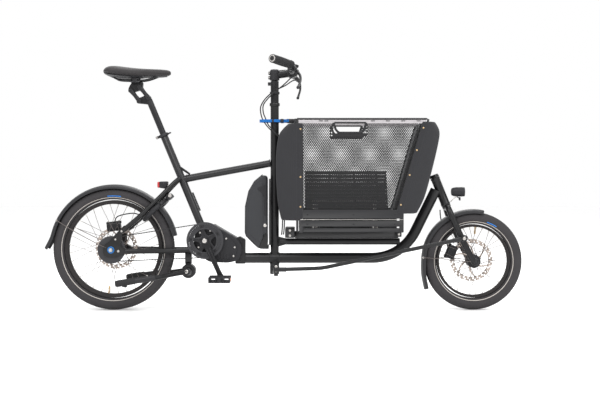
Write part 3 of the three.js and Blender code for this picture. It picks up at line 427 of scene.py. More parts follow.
def tyre(name, wheel):
    """Casing with a cut tread and a bead that runs into the rim."""
    middle = (wheel["tyre"] + wheel["bead"]) / 2
    height = wheel["tyre"] - middle
    half = wheel["width"] / 2
    stations = 576
    blocks = round(2 * math.pi * wheel["tyre"] / 13)
    angles = [-152, -138, -124, -110, -98, -88, -80, -75, -70, -62, -54, -46, -38, -31, -25, -19, -14, -8, -3]
    angles += [-a for a in reversed(angles)]
    rings = []
    for i in range(stations):
        around = (blocks * i / stations) % 1
        ring = []
        for phi in angles:
            y = half * math.sin(math.radians(phi))
            cut = tread_depth(around, phi, y)
            radius = middle + (height - cut) * math.cos(math.radians(phi))
            ring.append(ring_point(wheel, radius, 360 * i / stations, y * (1 - cut / 60)))
        rings.append(ring)
    piece(name, wheel["body"], "tyre_rubber", TYRE, skin(rings, closed=True),
          replaces=(name.replace("casing", "tyre"),),
          smooth=28)
    bands = []
    for side in (RIGHT, LEFT):
        profile = []
        for phi, out in ((121, 0.05), (121, 0.5), (124.5, 0.5), (128, 0.5), (128, 0.05)):
            turn = math.radians(phi)
            profile.append((side * (half * math.sin(turn) + out), middle + height * math.cos(turn)))
        bands.append(about(wheel, profile, 144))
    piece(name.replace("casing", "reflective_band"), wheel["body"], "wheel_metal", BAND, *bands)
    patches = []
    for side in (RIGHT, LEFT):
        rings = []
        for k in range(15):
            angle = (81 if wheel is FRONT else 90) - 8.5 + 1.05 * k - (16 if wheel is FRONT else 0)
            ring = []
            for phi, out in ((104, -0.3), (104, 0.45), (111, 0.45), (111, -0.3)):
                turn = math.radians(phi)
                ring.append(ring_point(wheel, middle + height * math.cos(turn), angle,
                                       side * (half * math.sin(turn) + out)))
            rings.append(ring)
        patches.append(skin(rings))
    piece(name.replace("casing", "blue_patch"), wheel["body"], "strap_webbing", PATCH, *patches)


def rim(name, wheel, node):
    bead, low = wheel["bead"], wheel["rim"]
    profile = [
        (-14.2, bead - 0.6), (-14.2, bead - 3), (-13.4, bead - 6), (-12.6, low + 8), (-10.5, low + 2.5),
        (-7.5, low + 0.4),
        (7.5, low + 0.4), (10.5, low + 2.5), (12.6, low + 8), (13.4, bead - 6), (14.2, bead - 3),
        (14.2, bead - 0.6),
        (11.8, bead - 0.6), (11.4, bead - 6), (4, low + 6), (-4, low + 6), (-11.4, bead - 6),
        (-11.8, bead - 0.6),
    ]
    piece(name, wheel["body"], "wheel_metal", RIM, about(wheel, profile, 144), replaces=(node,), smooth=30)


def spokes(name, wheel):
    """Thirty-two crossed spokes with their nipples, and the valve."""
    shapes, nipples = [], []
    for i in range(32):
        side = RIGHT if i % 2 else LEFT
        crossed = 1 if (i // 2) % 2 else -1
        rim_angle = (i + 0.5) * 360 / 32
        hub_angle = rim_angle + crossed * (58 if wheel is REAR else 66)
        low = ring_point(wheel, wheel["flange_r"], hub_angle, side * (wheel["flange"] + 1.4 * crossed))
        high = ring_point(wheel, wheel["rim"] - 1, rim_angle, side * 3)
        shapes.append(tube([low, low.lerp(high, 0.5), high], 0.95, 7))
        shapes.append(bolt(low - Vector((0, side * 1.2, 0)), (0, side, 0), 1.9, 1.8))
        away = (low - high).normalized()
        nipples.append(turned(high - away * 3, high + away * 12,
                              [(0, 2.6), (3, 2.6), (5, 2.0), (13, 1.9), (14.5, 1.2)], 10))
    piece(name, wheel["body"], "wheel_metal", SPOKE, *shapes)
    piece(name + "_nipples", wheel["body"], "wheel_metal", STEEL, *nipples)
    angle = -97 if wheel is REAR else 86
    foot, tip = ring_point(wheel, wheel["rim"] + 4, angle, 0), ring_point(wheel, wheel["rim"] - 30, angle, 0)
    valve = turned(foot, tip, [(0, 5), (5, 5), (6, 3), (18, 3), (18.5, 4), (32, 4), (34, 2.5)], 16)
    piece(name + "_valve", wheel["body"], "wheel_metal", BRASS, valve)


def rotor(name, wheel):
    """Brake disc: a drilled outer band with a scalloped edge, on a six-armed carrier."""
    y = wheel["rotor_y"]
    cells = 216
    radii = [72, 74.5, 77.5, 80.5, 83.5, 86.5, 89.2]
    points, faces = [], []
    for r in radii:
        for k in range(cells):
            scallop = 1.2 * math.cos(math.radians(12 * 360 * k / cells)) if r > 88 or r < 73 else 0
            points.append(ring_point(wheel, r - abs(scallop), 360 * k / cells, y - 0.9))
    for row in range(len(radii) - 1):
        for k in range(cells):
            hole = row in (1, 2) and k % 18 in (2, 3, 4, 11, 12) or row in (3, 4) and (k + 5) % 18 in (1, 2,
                10, 11, 12)
            if hole:
                continue
            a, b = row * cells + k, row * cells + (k + 1) % cells
            faces.append((a, b, b + cells, a + cells))
    obj = piece(name, wheel["body"], "wheel_metal", ROTOR, (points, faces), smooth=20)
    thick = obj.modifiers.new("Thick", "SOLIDIFY")
    thick.thickness = 0.0018
    thick.offset = 0
    arms = []
    for k in range(6):
        start = 60 * k + 12
        path = [ring_point(wheel, r, start + (r - 22) * 0.62, y - 0.2) for r in range(22, 75, 4)]
        arms.append(tube(path, [4.2 - 1.6 * i / len(path) for i in range(len(path))], 8, flat=1.0))
    arms.append(about(wheel, [(y - 2.2, 19), (y - 2.2, 27), (y + 1.8, 27), (y + 1.8, 19)], 48))
    points_flat = []
    for points_arm, faces_arm in arms[:-1]:
        points_flat.append(([Vector((p.x, y + (p.y - y) * 0.3, p.z)) for p in points_arm], faces_arm))
    bolts = [bolt(ring_point(wheel, 23, 60 * k, y + 1.6), (0, 1, 0), 2.8, 1.6) for k in range(6)]
    piece(name + "_carrier", wheel["body"], "wheel_metal", ROTOR, *points_flat, arms[-1], *bolts)


def hubs():
    rear = [(-49, 5.6), (-49, 13), (-38, 15), (-35, 30), (-33, 43), (-28, 44), (-24, 38), (-21, 34),
            (21, 34), (24, 38),
            (28, 44), (33, 43), (35, 26), (44, 21), (62, 20.5), (62, 5.6)]
    piece("rear_hub_shell", "rear_wheel", "wheel_metal", BLACK, about(REAR, rear, 64))
    front = [(-49, 5.6), (-49, 13), (-30, 14), (-27, 25), (-26, 28), (-22, 28), (-19, 19), (-15, 17),
             (15, 17), (19, 19),
             (22, 28), (26, 28), (27, 24), (30, 20), (49, 20), (49, 5.6)]
    piece("front_hub_shell", "front_wheel", "wheel_metal", BLACK, about(FRONT, front, 64))


def toothed_disc(x, z, radius, teeth, depth, y0, y1, bore):
    """Belt sprocket: rounded teeth around a disc with a bore."""
    outer, inner = [], []
    count = teeth * 8
    for k in range(count):
        turn = 2 * math.pi * k / count
        r = radius - depth * (0.5 - 0.5 * math.cos(teeth * turn)) ** 0.6
        outer.append((x + r * math.cos(turn), z + r * math.sin(turn)))
        inner.append((x + bore * math.cos(turn), z + bore * math.sin(turn)))
    rings = [
        [Vector((px, y0, pz)) for px, pz in inner], [Vector((px, y0, pz)) for px, pz in outer],
        [Vector((px, y1, pz)) for px, pz in outer], [Vector((px, y1, pz)) for px, pz in inner],
    ]
    return skin(rings, closed=True)


def sprockets_and_belt():
    y = BELT["y"]
    ring_gear = toothed_disc(CRANK.x, CRANK.z, BELT["front"] - 2.2, 55, 2.2, y - 5.6, y + 5, 50)
    rims = about({"x": CRANK.x, "z": CRANK.z}, [(y - 9, 66), (y - 9, 76), (y - 7, 76), (y - 7, 66)], 96)
    lip = about({"x": CRANK.x, "z": CRANK.z}, [(y - 9, 47), (y - 9, 53), (y - 5, 53), (y - 5, 47)], 96)
    arms = []
    for k in range(5):
        turn = math.radians(72 * k + 30)
        root = CRANK + Vector((16 * math.cos(turn), y - 6, 16 * math.sin(turn)))
        tip = CRANK + Vector((67 * math.cos(turn), y - 6, 67 * math.sin(turn)))
        arms.append(tube([root, root.lerp(tip, 0.5), tip], [12, 7.5, 9], 20, flat=0.28))
        arms.append(bolt(CRANK + Vector((58 * math.cos(turn), y - 8, 58 * math.sin(turn))), (0, -1, 0), 4.2,
                         2.2))
    core = about({"x": CRANK.x, "z": CRANK.z}, [(y - 8, 12.6), (y - 8, 24), (y + 4, 24), (y + 4, 12.6)], 48)
    piece("chainring_toothed", "crankset", "black_metal", BLACK, ring_gear, rims, lip, core, *arms,
          replaces=("belt_chainring",))

    rear_gear = toothed_disc(0, REAR["z"], BELT["rear"] - 2.2, 39, 2.2, y - 5.6, y + 5.6, 6)
    guard = about(REAR, [(y - 9.2, 26), (y - 9.2, 56.5), (y - 7.2, 57), (y - 6.9, 26)], 96)
    cover = about(REAR, [(y - 6, 7), (y - 8.6, 7), (y - 9.6, 14), (y - 9.8, 24), (y - 8.6, 29),
                         (y - 5, 29)], 64)
    piece("rear_sprocket_toothed", "rear_sprocket", "black_metal", BLACK, rear_gear, guard, cover,
          replaces=("rear_sprocket",))

    belt_path = []
    dx, dz = CRANK.x, CRANK.z - REAR["z"]
    slope = math.atan2(dz, dx)
    distance = math.hypot(dx, dz)
    spread = math.acos((BELT["rear"] - BELT["front"]) / distance)
    for k in range(49):
        angle = slope - spread + 2 * spread * k / 48
        belt_path.append((CRANK.x, CRANK.z, BELT["front"], angle))
    for k in range(49):
        angle = slope + spread + (2 * math.pi - 2 * spread) * k / 48
        belt_path.append((0, REAR["z"], BELT["rear"], angle))
    points = [Vector((cx + r * math.cos(a), 0, cz + r * math.sin(a))) for cx, cz, r, a in belt_path]
    facing = [Vector((math.cos(a), 0, math.sin(a))) for *_, a in belt_path]
    run, out = [], []
    step = 11 / 6
    for i, p in enumerate(points):
        q = points[(i + 1) % len(points)]
        parts = max(1, round((q - p).length / step))
        for k in range(parts):
            run.append(p.lerp(q, k / parts))
            out.append(facing[i].lerp(facing[(i + 1) % len(points)], k / parts).normalized())
    rings = []
    for i, (p, n) in enumerate(zip(run, out)):
        tooth = 1.1 * (0.5 + 0.5 * math.cos(2 * math.pi * i / 6))
        inside, outside = p - n * (0.4 + tooth), p + n * 2.3
        rings.append([
            inside + Vector((0, y - 5.8, 0)), inside + Vector((0, y + 5.8, 0)),
            outside + Vector((0, y + 5.8, 0)), outside + Vector((0, y - 5.8, 0)),
        ])
    piece("belt_toothed", "root", "hose_black", RUBBER, skin(rings, closed=True), replaces=("drive_belt",),
          smooth=50)


# ---- mudguards ----------------------------------------------------------------------------------
def guard_strip(wheel, outer, half, start, end, flap, name, body, node):
    """Arched guard with rolled edges, a raised middle band and rounded ends."""
    section = [(17, -1.0), (12, -1.02), (5.2, -0.93), (2.4, -0.74), (1.0, -0.5), (0.5, -0.46), (0.0, -0.42),
               (0, 0),
               (0.0, 0.42), (0.5, 0.46), (1.0, 0.5), (2.4, 0.74), (5.2, 0.93), (12, 1.02), (17, 1.0),
               (16.8, 0.96),
               (8, 0.9), (3.8, 0.68), (2.2, 0.4), (2.0, 0), (2.2, -0.4), (3.8, -0.68), (8, -0.9),
               (16.8, -0.96)]
    stations = []
    steps = 56
    for i in range(steps + 1):
        angle = start + (end - start) * i / steps
        stations.append((wheel["x"] + outer * math.cos(math.radians(angle)),
                         wheel["z"] + outer * math.sin(math.radians(angle)), angle))
    last = [stations[-1], *flap]
    path = smooth_path([(x, angle, z) for x, z, angle in last], 6)[1:]
    stations += [(p.x, p.z, p.y) for p in path]
    rings = []
    count = len(stations)
    for i, (sx, sz, facing) in enumerate(stations):
        near = min(i, count - 1 - i)
        taper = 1 - 0.22 * max(0, 1 - near / 3) ** 2
        turn = math.radians(facing)
        rings.append([
            Vector((sx - depth * math.cos(turn), y * half * taper, sz - depth * math.sin(turn))) for depth,
            y in section
        ])
    piece(name, body, "black_plastic", GUARD, skin(rings), replaces=(node,), smooth=30)


def mudguards():
    guard_strip(REAR, 268, 30, 12, 166, [(-268, 296, 158), (-288, 258, 150)], "rear_guard_arched", "root",
                "rear_mudguard")
    guard_strip(FRONT, 215, 28, 78, 178, [(1279, 180, 181), (1281, 140, 190), (1292, 84, 196)],
                "front_guard_arched",
                "fork", "front_mudguard")
    stays, clips = [], []
    for side in (RIGHT, LEFT):
        foot = ring_point(REAR, 262, 153, side * 29)
        stays.append(tube(smooth_path([(-20, side * 72, 262), (-60, side * 70, 280), (-150, side * 56, 326),
                                       foot], 5),
                          1.6, 10))
        clips.append(bolt(foot - Vector((0, side * 3, 0)), (0, side, 0), 4.5, 5))
    piece("rear_guard_stays", "root", "wheel_metal", SPOKE, *stays)
    piece("rear_guard_clips", "root", "lock_steel", STEEL, *clips)
    stays, clips = [], []
    for side in (RIGHT, LEFT):
        foot = ring_point(FRONT, 210, 176, side * 27)
        stays.append(tube(smooth_path([(1482, side * 64, 205), (1440, side * 64, 206),
                                       (1360, side * 48, 214), foot], 5),
                          1.5, 10))
        clips.append(bolt(foot - Vector((0, side * 3, 0)), (0, side, 0), 4, 5))
    piece("front_guard_stays", "fork", "wheel_metal", SPOKE, *stays)
    piece("front_guard_clips", "fork", "lock_steel", STEEL, *clips)


# ---- frame --------------------------------------------------------------------------------------
HEAD_LOW, HEAD_TOP = Vector((1381, 0, 439)), Vector((1337, 0, 548))
HEAD_AXIS = (HEAD_TOP - HEAD_LOW).normalized()
SEAT_LOW, SEAT_TOP = Vector((358, 0, 361.6)), Vector((209.4, 0, 719.6))
SEAT_AXIS = (SEAT_TOP - SEAT_LOW).normalized()
SEAT_LENGTH = (SEAT_TOP - SEAT_LOW).length
MOTOR = [(330, 250), (345, 345), (420, 353), (515, 296), (533, 275), (536, 240), (520, 208), (480, 197),
         (400, 200)]


def weld(centre, axis, radius, bead=2.2):
    """Weld seam: a rippled bead around a tube."""
    centre, axis = Vector(centre), Vector(axis).normalized()
    helper = Vector((0, 1, 0)) if abs(axis.y) < 0.9 else Vector((0, 0, 1))
    u = axis.cross(helper).normalized()
    v = axis.cross(u)
    path, radii = [], []
    for k in range(72):
        turn = 2 * math.pi * k / 72
        path.append(centre + radius * (math.cos(turn) * u + math.sin(turn) * v))
        radii.append(bead * (1 + 0.13 * math.cos(24 * turn)))
    return tube(path, radii, 8, closed=True)


def frame_tubes():
    path = [Vector((532, 0, 215)), Vector((700, 0, 215)), Vector((900, 0, 215))]
    for k in range(13):
        turn = math.radians(63.6 * k / 12)
        path.append(Vector((1076 + 200 * math.sin(turn), 0, 215 + 200 * (1 - math.cos(turn)))))
    crotch = HEAD_LOW + HEAD_AXIS * 84
    path += [path[-1].lerp(crotch, 0.5), path[-1].lerp(crotch, 0.9)]
    bracket = prism(rounded([(506, 192), (548, 192), (548, 292), (524, 306), (506, 296)], 5), -24, 14, 2)
    lugs = [bolt((527, -24, z), (0, -1, 0), 5.5, 3) for z in (206, 282)]
    piece("main_tube_bent", "root", "frame_paint", PAINT, tube(path, 21.9, 40), bracket, *lugs,
          weld((COLUMN_X - 19, 0, 215), (1, 0, 0), 21), weld((COLUMN_X + 19, 0, 215), (1, 0, 0), 21),
          replaces=("main_tube",))
    gusset = prism(rounded([(684, 262), (716, 271), (716, 296), (684, 304)], 3), -8.6, 8.6, 1.5)
    piece("cargo_rail_tube", "root", "frame_paint", PAINT, rod((688, 0, 283), (1190, 0, 283), 13.4, 36),
          gusset,
          weld((689, 0, 283), (1, 0, 0), 13.2), weld((1186, 0, 283), (1, 0, 0), 13.2, 1.8),
          replaces=("cargo_rail",))
    column = turned((COLUMN_X, 0, 186), (COLUMN_X, 0, 860), [
        (0, 13.3), (0, 20), (6, 20.2), (7, 17.4), (660, 17.4), (661, 20.6), (664, 21.4), (671, 21.4),
        (674, 20.4), (674, 13.3),
    ], 40, closed=True)
    rail = block((651, 0, 407), (11, 21, 276), 0, 1.5)
    piece("steering_column_tube", "root", "frame_paint", PAINT, column, rail, replaces=("steering_column",))
    seat_tube = turned(SEAT_LOW - SEAT_AXIS * 8, SEAT_TOP, [
        (0, 15.9), (SEAT_LENGTH + 7, 15.9), (SEAT_LENGTH + 8, 15.2), (SEAT_LENGTH + 8, 13.7), (90, 13.7),
        (90, 3), (0, 3),
    ], 36, closed=True)
    piece("seat_tube_round", "root", "frame_paint", PAINT, seat_tube,
          prism(rounded([(271, 588), (276, 597), (317, 568), (315, 559)], 1.5, 3), -6, 6, 1),
          replaces=("seat_tube",))
    top_rear, top_front = Vector((313, 0, 547)), Vector((654, 0, 609.5))
    top_start = top_rear + (top_front - top_rear) * -0.06
    piece("top_tube_round", "root", "frame_paint", PAINT, rod(top_start, (650, 0, 608.7), 14.9, 36),
          weld(top_rear + Vector((-8, 0, -1)), top_front - top_rear, 14.6),
          weld((650, 0, 608.7), top_front - top_rear, 14.6),
          replaces=("top_tube",))
    low, high = HEAD_LOW - HEAD_AXIS * 2, HEAD_LOW + HEAD_AXIS * 118
    head = turned(low, high, [(0, 13.3), (0, 19.6), (5, 20), (8, 18.5), (112, 18.5), (115, 20), (120, 19.6),
                              (120, 13.3)],
                  36, closed=True)
    piece("front_head_tube_round", "root", "frame_paint", PAINT, head, replaces=("front_head_tube",))
    for side in (RIGHT, LEFT):
        word = WORDS[side]
        dropout = prism(rounded([
            (-34, 246), (-26, 226), (14, 222), (52, 236), (66, 240), (66, 257), (40, 268), (44, 318),
            (74, 338),
            (56, 356), (22, 322), (-6, 290), (-30, 272),
        ], 8), 67.6, 73.4, 1.2)
        chainstay = tube(smooth_path([(60, 76, 247), (120, 67, 247.5), (210, 48, 247), (300, 38, 248),
                                      (330, 37, 250)], 8),
                         10.5, 28, flat=0.85)
        seatstay = tube(smooth_path([(50, 70, 334), (110, 62, 385), (190, 47, 462), (250, 29, 524),
                                     (276, 17, 547)], 8),
                        9.6, 28)
        bolts = [bolt((30, 73, 248), (0, 1, 0), 5, 3), bolt((44, 73, 330), (0, 1, 0), 4.5, 3),
                 bolt((18, 73, 296), (0, 1, 0), 4, 2.4)]
        piece(f"rear_stays_tubes_{word}", "root", "frame_paint", PAINT,
              *on_side(side, dropout, chainstay, seatstay),
              replaces=(f"rear_stays_{word}",))
        piece(f"dropout_bolts_{word}", "root", "lock_steel", STEEL, *on_side(side, *bolts))
        nut = cross_rod(0, REAR["z"], 73, 87, 6, 20)
        hexes = turned((0, 74, REAR["z"]), (0, 82, REAR["z"]), [(0, 10), (6, 10), (8, 8.5)], 6)
        piece(f"axle_nut_{word}", "root", "lock_steel", STEEL, *on_side(side, nut, hexes))
        piece(f"axle_ring_{word}", "root", "strap_webbing", BLUE, *on_side(
            side, turned((0, 73.6, REAR["z"]), (0, 80, REAR["z"]),
                         [(0, 10.4), (0, 14), (2.6, 14), (2.6, 10.4)], 36, True)))


# ---- drive --------------------------------------------------------------------------------------
def drive_unit():
    body = prism(rounded(MOTOR, 16, 6), -41.6, 41.6, 5, 4)
    inner = [(346, 258), (358, 333), (416, 340), (498, 290), (514, 270), (516, 242), (504, 220), (474, 209),
             (404, 212)]
    covers = [prism(rounded(inner, 14, 5), -45, 45, 3)]
    boss = cross_rod(CRANK.x, CRANK.z, -48.6, 48.6, 31, 48, 2)
    fins = [prism(rounded([(420 + 13 * k, 214), (425 + 13 * k, 214), (425 + 13 * k, 244 - 2 * k),
                           (420 + 13 * k, 244 - 2 * k)],
                          2, 2), -46.6, 46.6, 1) for k in range(6)]
    top_seam = prism(rounded([(352, 347.5), (420, 354.6), (517, 297.5), (516, 294), (420, 350), (352, 343)],
                             1, 2), -30, 30, 0.5)
    bolts = []
    for x, z in ((362, 322), (404, 330), (470, 298), (505, 262), (500, 226), (412, 218), (356, 262)):
        bolts.append(bolt((x, 44.6, z), (0, 1, 0), 4, 2.4))
    piece("drive_unit_case", "root", "black_plastic", PLASTIC, body, *covers, boss, *fins, top_seam,
          replaces=("drive_unit",), smooth=30)
    piece("drive_unit_bolts", "root", "lock_steel", STEEL, *both(*bolts))


PEDAL_TIP = 67.5


def tipped(shape, x, z, degrees):
    """Turn a shape about the line across the bicycle through (x, z)."""
    turn = Matrix.Rotation(math.radians(degrees), 3, "Y")
    pivot = Vector((x, 0, z))
    points, faces = shape
    return [turn @ (Vector(p) - pivot) + pivot for p in points], faces


def cranks_and_pedals():
    shapes = [cross_rod(CRANK.x, CRANK.z, -74, 74, 12, 32)]
    bright = []
    for side in (RIGHT, LEFT):
        along = Vector((math.sin(CRANK_LEAN), 0, -math.cos(CRANK_LEAN)))
        if side == LEFT:
            along = -along
        across = Vector((-along.z, 0, along.x))
        rings = []
        for distance, half, thick in ((-18, 6, 4.5), (-14, 12, 5.5), (-4, 16.5, 6), (12, 15.5, 6),
                                      (32, 12.5, 6), (70, 11, 6),
                                      (130, 10, 6), (150, 11, 6), (164, 13, 6), (173, 9.5, 5.5), (177, 5, 4)):
            centre = CRANK + along * distance + Vector((0, side * 74, 0))
            ring = []
            for k in range(16):
                turn = 2 * math.pi * k / 16
                c, s = math.cos(turn), math.sin(turn)
                ring.append(centre + across * half * math.copysign(abs(c) ** 0.55, c)
                            + Vector((0, thick * math.copysign(abs(s) ** 0.55, s), 0)))
            rings.append(ring)
        shapes.append(skin(rings))
        shapes.append(cross_rod(CRANK.x, CRANK.z, side * 67.7, side * 83.5, 16, 32, 1.5))
        groove = [CRANK + along * d + Vector((0, side * 80.2, 0)) for d in (34, 60, 100, 138)]
        for edge in (5.5, -5.5):
            shapes.append(tube([g + across * edge for g in groove], 1.2, 8))
        end = CRANK + along * CRANK_LENGTH
        bright.append(turned(end + Vector((0, side * 78, 0)), end + Vector((0, side * 81, 0)),
                             [(0, 6), (1.6, 6), (2, 5)], 20))
        bright.append(bolt(CRANK + Vector((0, side * 83, 0)), (0, side, 0), 9, 3))

        word = WORDS[side]
        x, z = end.x, end.z
        tip = 0 if side == RIGHT else PEDAL_TIP
        bars = []
        for dz in (-9, 9):
            outline = rounded([(x - 43.5, z + dz - 2.6), (x + 43.5, z + dz - 2.6), (x + 43.5, z + dz + 2.6),
                               (x - 43.5, z + dz + 2.6)], 2.5, 3)
            for y0, y1 in ((98, 110), (138, 146), (176, 187)):
                bars.append(prism(outline, y0, y1, 1.2, 2))
        for dx in (-40.5, 40.5, -14, 14):
            bars.append(block((x + dx, 142, z), (6 if abs(dx) > 20 else 4, 90, 22), 0, 1.5))
        for dx in (-40, -27, 27, 40):
            for y in (104, 122, 162, 181):
                for up in (-1, 1):
                    bars.append(rod((x + dx, y, z + up * 8), (x + dx, y, z + up * 12), 1.6, 8, 0.3))
        bars.append(rod((x, 98, z), (x, 186, z), 8.5, 24, 1))
        bars.append(turned((x, 186, z), (x, 188, z), [(0, 8.5), (1, 8), (1.8, 6)], 20))
        bars = [tipped(shape, x, z, tip) for shape in bars]
        piece(f"pedal_cage_{word}", f"pedal_{word}", "black_plastic", PLASTIC, *on_side(side, *bars),
              replaces=(f"pedal_{word}",))
        piece(f"pedal_spindle_{word}", f"pedal_{word}", "lock_steel", STEEL,
              *on_side(side, rod((x, 66.5, z), (x, 99, z), 6.3, 20)))
        reflectors = [tipped(block((x + dx, 142, z), (2.4, 56, 11), 0, 0.8, 0.8), x, z, tip) for dx in (-44,
            44)]
        piece(f"pedal_reflectors_{word}", f"pedal_{word}", "black_plastic", AMBER,
              *on_side(side, *reflectors))
    piece("crank_arms_forged", "crankset", "black_metal", BLACK, *shapes, replaces=("crank_arms",), smooth=45)
    piece("crank_bolts", "crankset", "lock_steel", STEEL, *bright)


def battery():
    outline = [(640, 556), (640, 262), (638, 255), (606, 255), (592, 265), (553, 304), (547, 322),
               (548, 430), (562, 492),
               (585, 532), (618, 561)]
    body = prism(rounded(outline, 16, 6), -43.6, 43.6, 9, 5)
    rib = [(618, 563.5), (583, 534.5), (559, 493), (545, 430), (544, 321), (550, 301.5), (556, 304),
           (550, 323), (551, 430),
           (564, 491), (586.5, 530), (619, 559)]
    band = prism(rounded(rib, 2, 2), -3, 3, 1)
    side_panel = [(622, 536), (622, 300), (606, 280), (566, 316), (560, 330), (561, 428), (573, 486),
                  (594, 522)]
    panels = prism(rounded(side_panel, 14, 5), -45.2, 45.2, 1.6)
    piece("battery_case", "root", "black_plastic", SHELL, body, panels, replaces=("battery_pack",), smooth=32)
    piece("battery_seam", "root", "black_plastic", PLASTIC, band)
    handle = both(prism(rounded([(598, 508), (634, 522), (637, 516), (637, 392), (628, 392), (626, 470),
                                 (612, 490), (600, 498)],
                                4, 3), 44, 46.6, 1))
    foot = [block((628, 0, 262), (34, 60, 16), 0, 2),
            prism(rounded([(604, 262), (640, 262), (640, 316), (631, 322)], 3),
                                                          -46, 46, 2)]
    piece("battery_cradle", "root", "frame_paint", PAINT, *foot)
    piece("battery_handle", "root", "black_plastic", PLASTIC, *handle)
    keys = both(bolt((630, 45, 352), (0, 1, 0), 6.5, 2.5))
    piece("battery_lock", "root", "lock_steel", STEEL, *keys)


# ---- seat ---------------------------------------------------------------------------------------
def seat_point(distance):
    return SEAT_LOW + SEAT_AXIS * distance


POST_TOP = seat_point(SEAT_LENGTH + 166.7)
LINK_FRONT = Vector((POST_TOP.x - 2, 0, POST_TOP.z + 8))
LINK_REAR = LINK_FRONT + Vector((-37, 0, -14))
LINK_RISE = Vector((-36, 0, 44))
RAIL_Z = LINK_FRONT.z + LINK_RISE.z + 28


def seatpost():
    collar = turned(seat_point(SEAT_LENGTH + 1), seat_point(SEAT_LENGTH + 13),
                    [(0, 14), (0, 19.4), (1.5, 20.4), (10.5, 20.4), (12, 19.4), (12, 14)], 40, True)
    lug = block(seat_point(SEAT_LENGTH + 7) + Vector((-25, 0, -10)), (15, 21, 10), -22, 2, 3)
    nose = block(seat_point(SEAT_LENGTH + 7) + Vector((24, 0, 9)), (14, 11, 6), -22, 2, 3)
    piece("seat_clamp_collar", "root", "black_metal", BLACK, collar, lug, nose, replaces=("seat_clamp",))
    head = bolt(seat_point(SEAT_LENGTH + 7) + Vector((-27, -10.5, -11)), (0, -1, 0), 4, 3.5)
    piece("seat_clamp_bolt", "root", "lock_steel", STEEL, head,
          bolt(seat_point(SEAT_LENGTH + 7) + Vector((-27, 10.5, -11)), (0, 1, 0), 4, 2.5))

    f, r = LINK_FRONT, LINK_REAR
    post = turned(seat_point(90), POST_TOP, [(0, 12.2), (1, 13.1), (SEAT_LENGTH + 12, 13.1),
                                             (SEAT_LENGTH + 76.7, 13.1)], 40)
    neck = rounded([(f.x + 14, f.z - 30), (f.x + 10, f.z + 8), (f.x - 8, f.z + 12), (r.x - 12, r.z + 9),
                    (r.x - 12, r.z - 9), (f.x - 16, f.z - 26)], 7, 5)
    pins = [cross_rod(p.x, p.z, -10, 10, 4, 16) for p in (f, r)]
    piece("seatpost_tube_round", "seatpost", "black_metal", BLACK, post, prism(neck, -11.4, 11.4, 2.5, 3),
          *pins,
          replaces=("seatpost_tube",))
    for word, low, body in (("front", f, "seat_link_front"), ("rear", r, "seat_link_rear")):
        high = low + LINK_RISE
        cheek = tube([low + Vector((0, 17.4, 0)), low.lerp(high, 0.5) + Vector((0, 17.4, 0)),
                      high + Vector((0, 17.4, 0))],
                     [9, 6.8, 9], 20, flat=0.42)
        eyes = [turned(p + Vector((0, 13.6, 0)), p + Vector((0, 21.5, 0)), [(0, 9), (6.4, 9), (7.6, 7.6)], 24)
                for p in (low, high)]
        axles = [cross_rod(p.x, p.z, -15, 15, 3.7, 16) for p in (low, high)]
        screws = [bolt(p + Vector((0, 21.3, 0)), (0, 1, 0), 4.4, 1.8) for p in (low, high)]
        piece(f"seatpost_link_{word}_forged", body, "black_metal", BLACK, *both(cheek, *eyes, *screws),
              *axles,
              replaces=(f"seatpost_link_{word}",))
    up, back = f + LINK_RISE, r + LINK_RISE
    yoke = rounded([(up.x + 12, up.z - 10), (up.x + 14, up.z + 22), (back.x + 6, up.z + 24),
                    (back.x - 10, back.z + 10),
                    (back.x - 10, back.z - 9), (back.x + 10, back.z - 8)], 7, 5)
    clamp = cross_rod(90, up.z + 28, -29, 29, 10.8, 32, 1.5)
    jaws = both(block((90, 22, RAIL_Z + 6.5), (34, 13, 5), 0, 1.5),
                block((90, 22, RAIL_Z - 7), (36, 13, 6), 0, 1.5))
    bolts = [rod((90 + dx, 0, up.z + 12), (90 + dx, 0, up.z + 40), 3, 12) for dx in (-14, 14)]
    piece("seatpost_head_forged", "seat", "black_metal", BLACK, prism(yoke, -11.2, 11.2, 2.2, 3), clamp,
          *jaws, *bolts,
          replaces=("seatpost_head",))


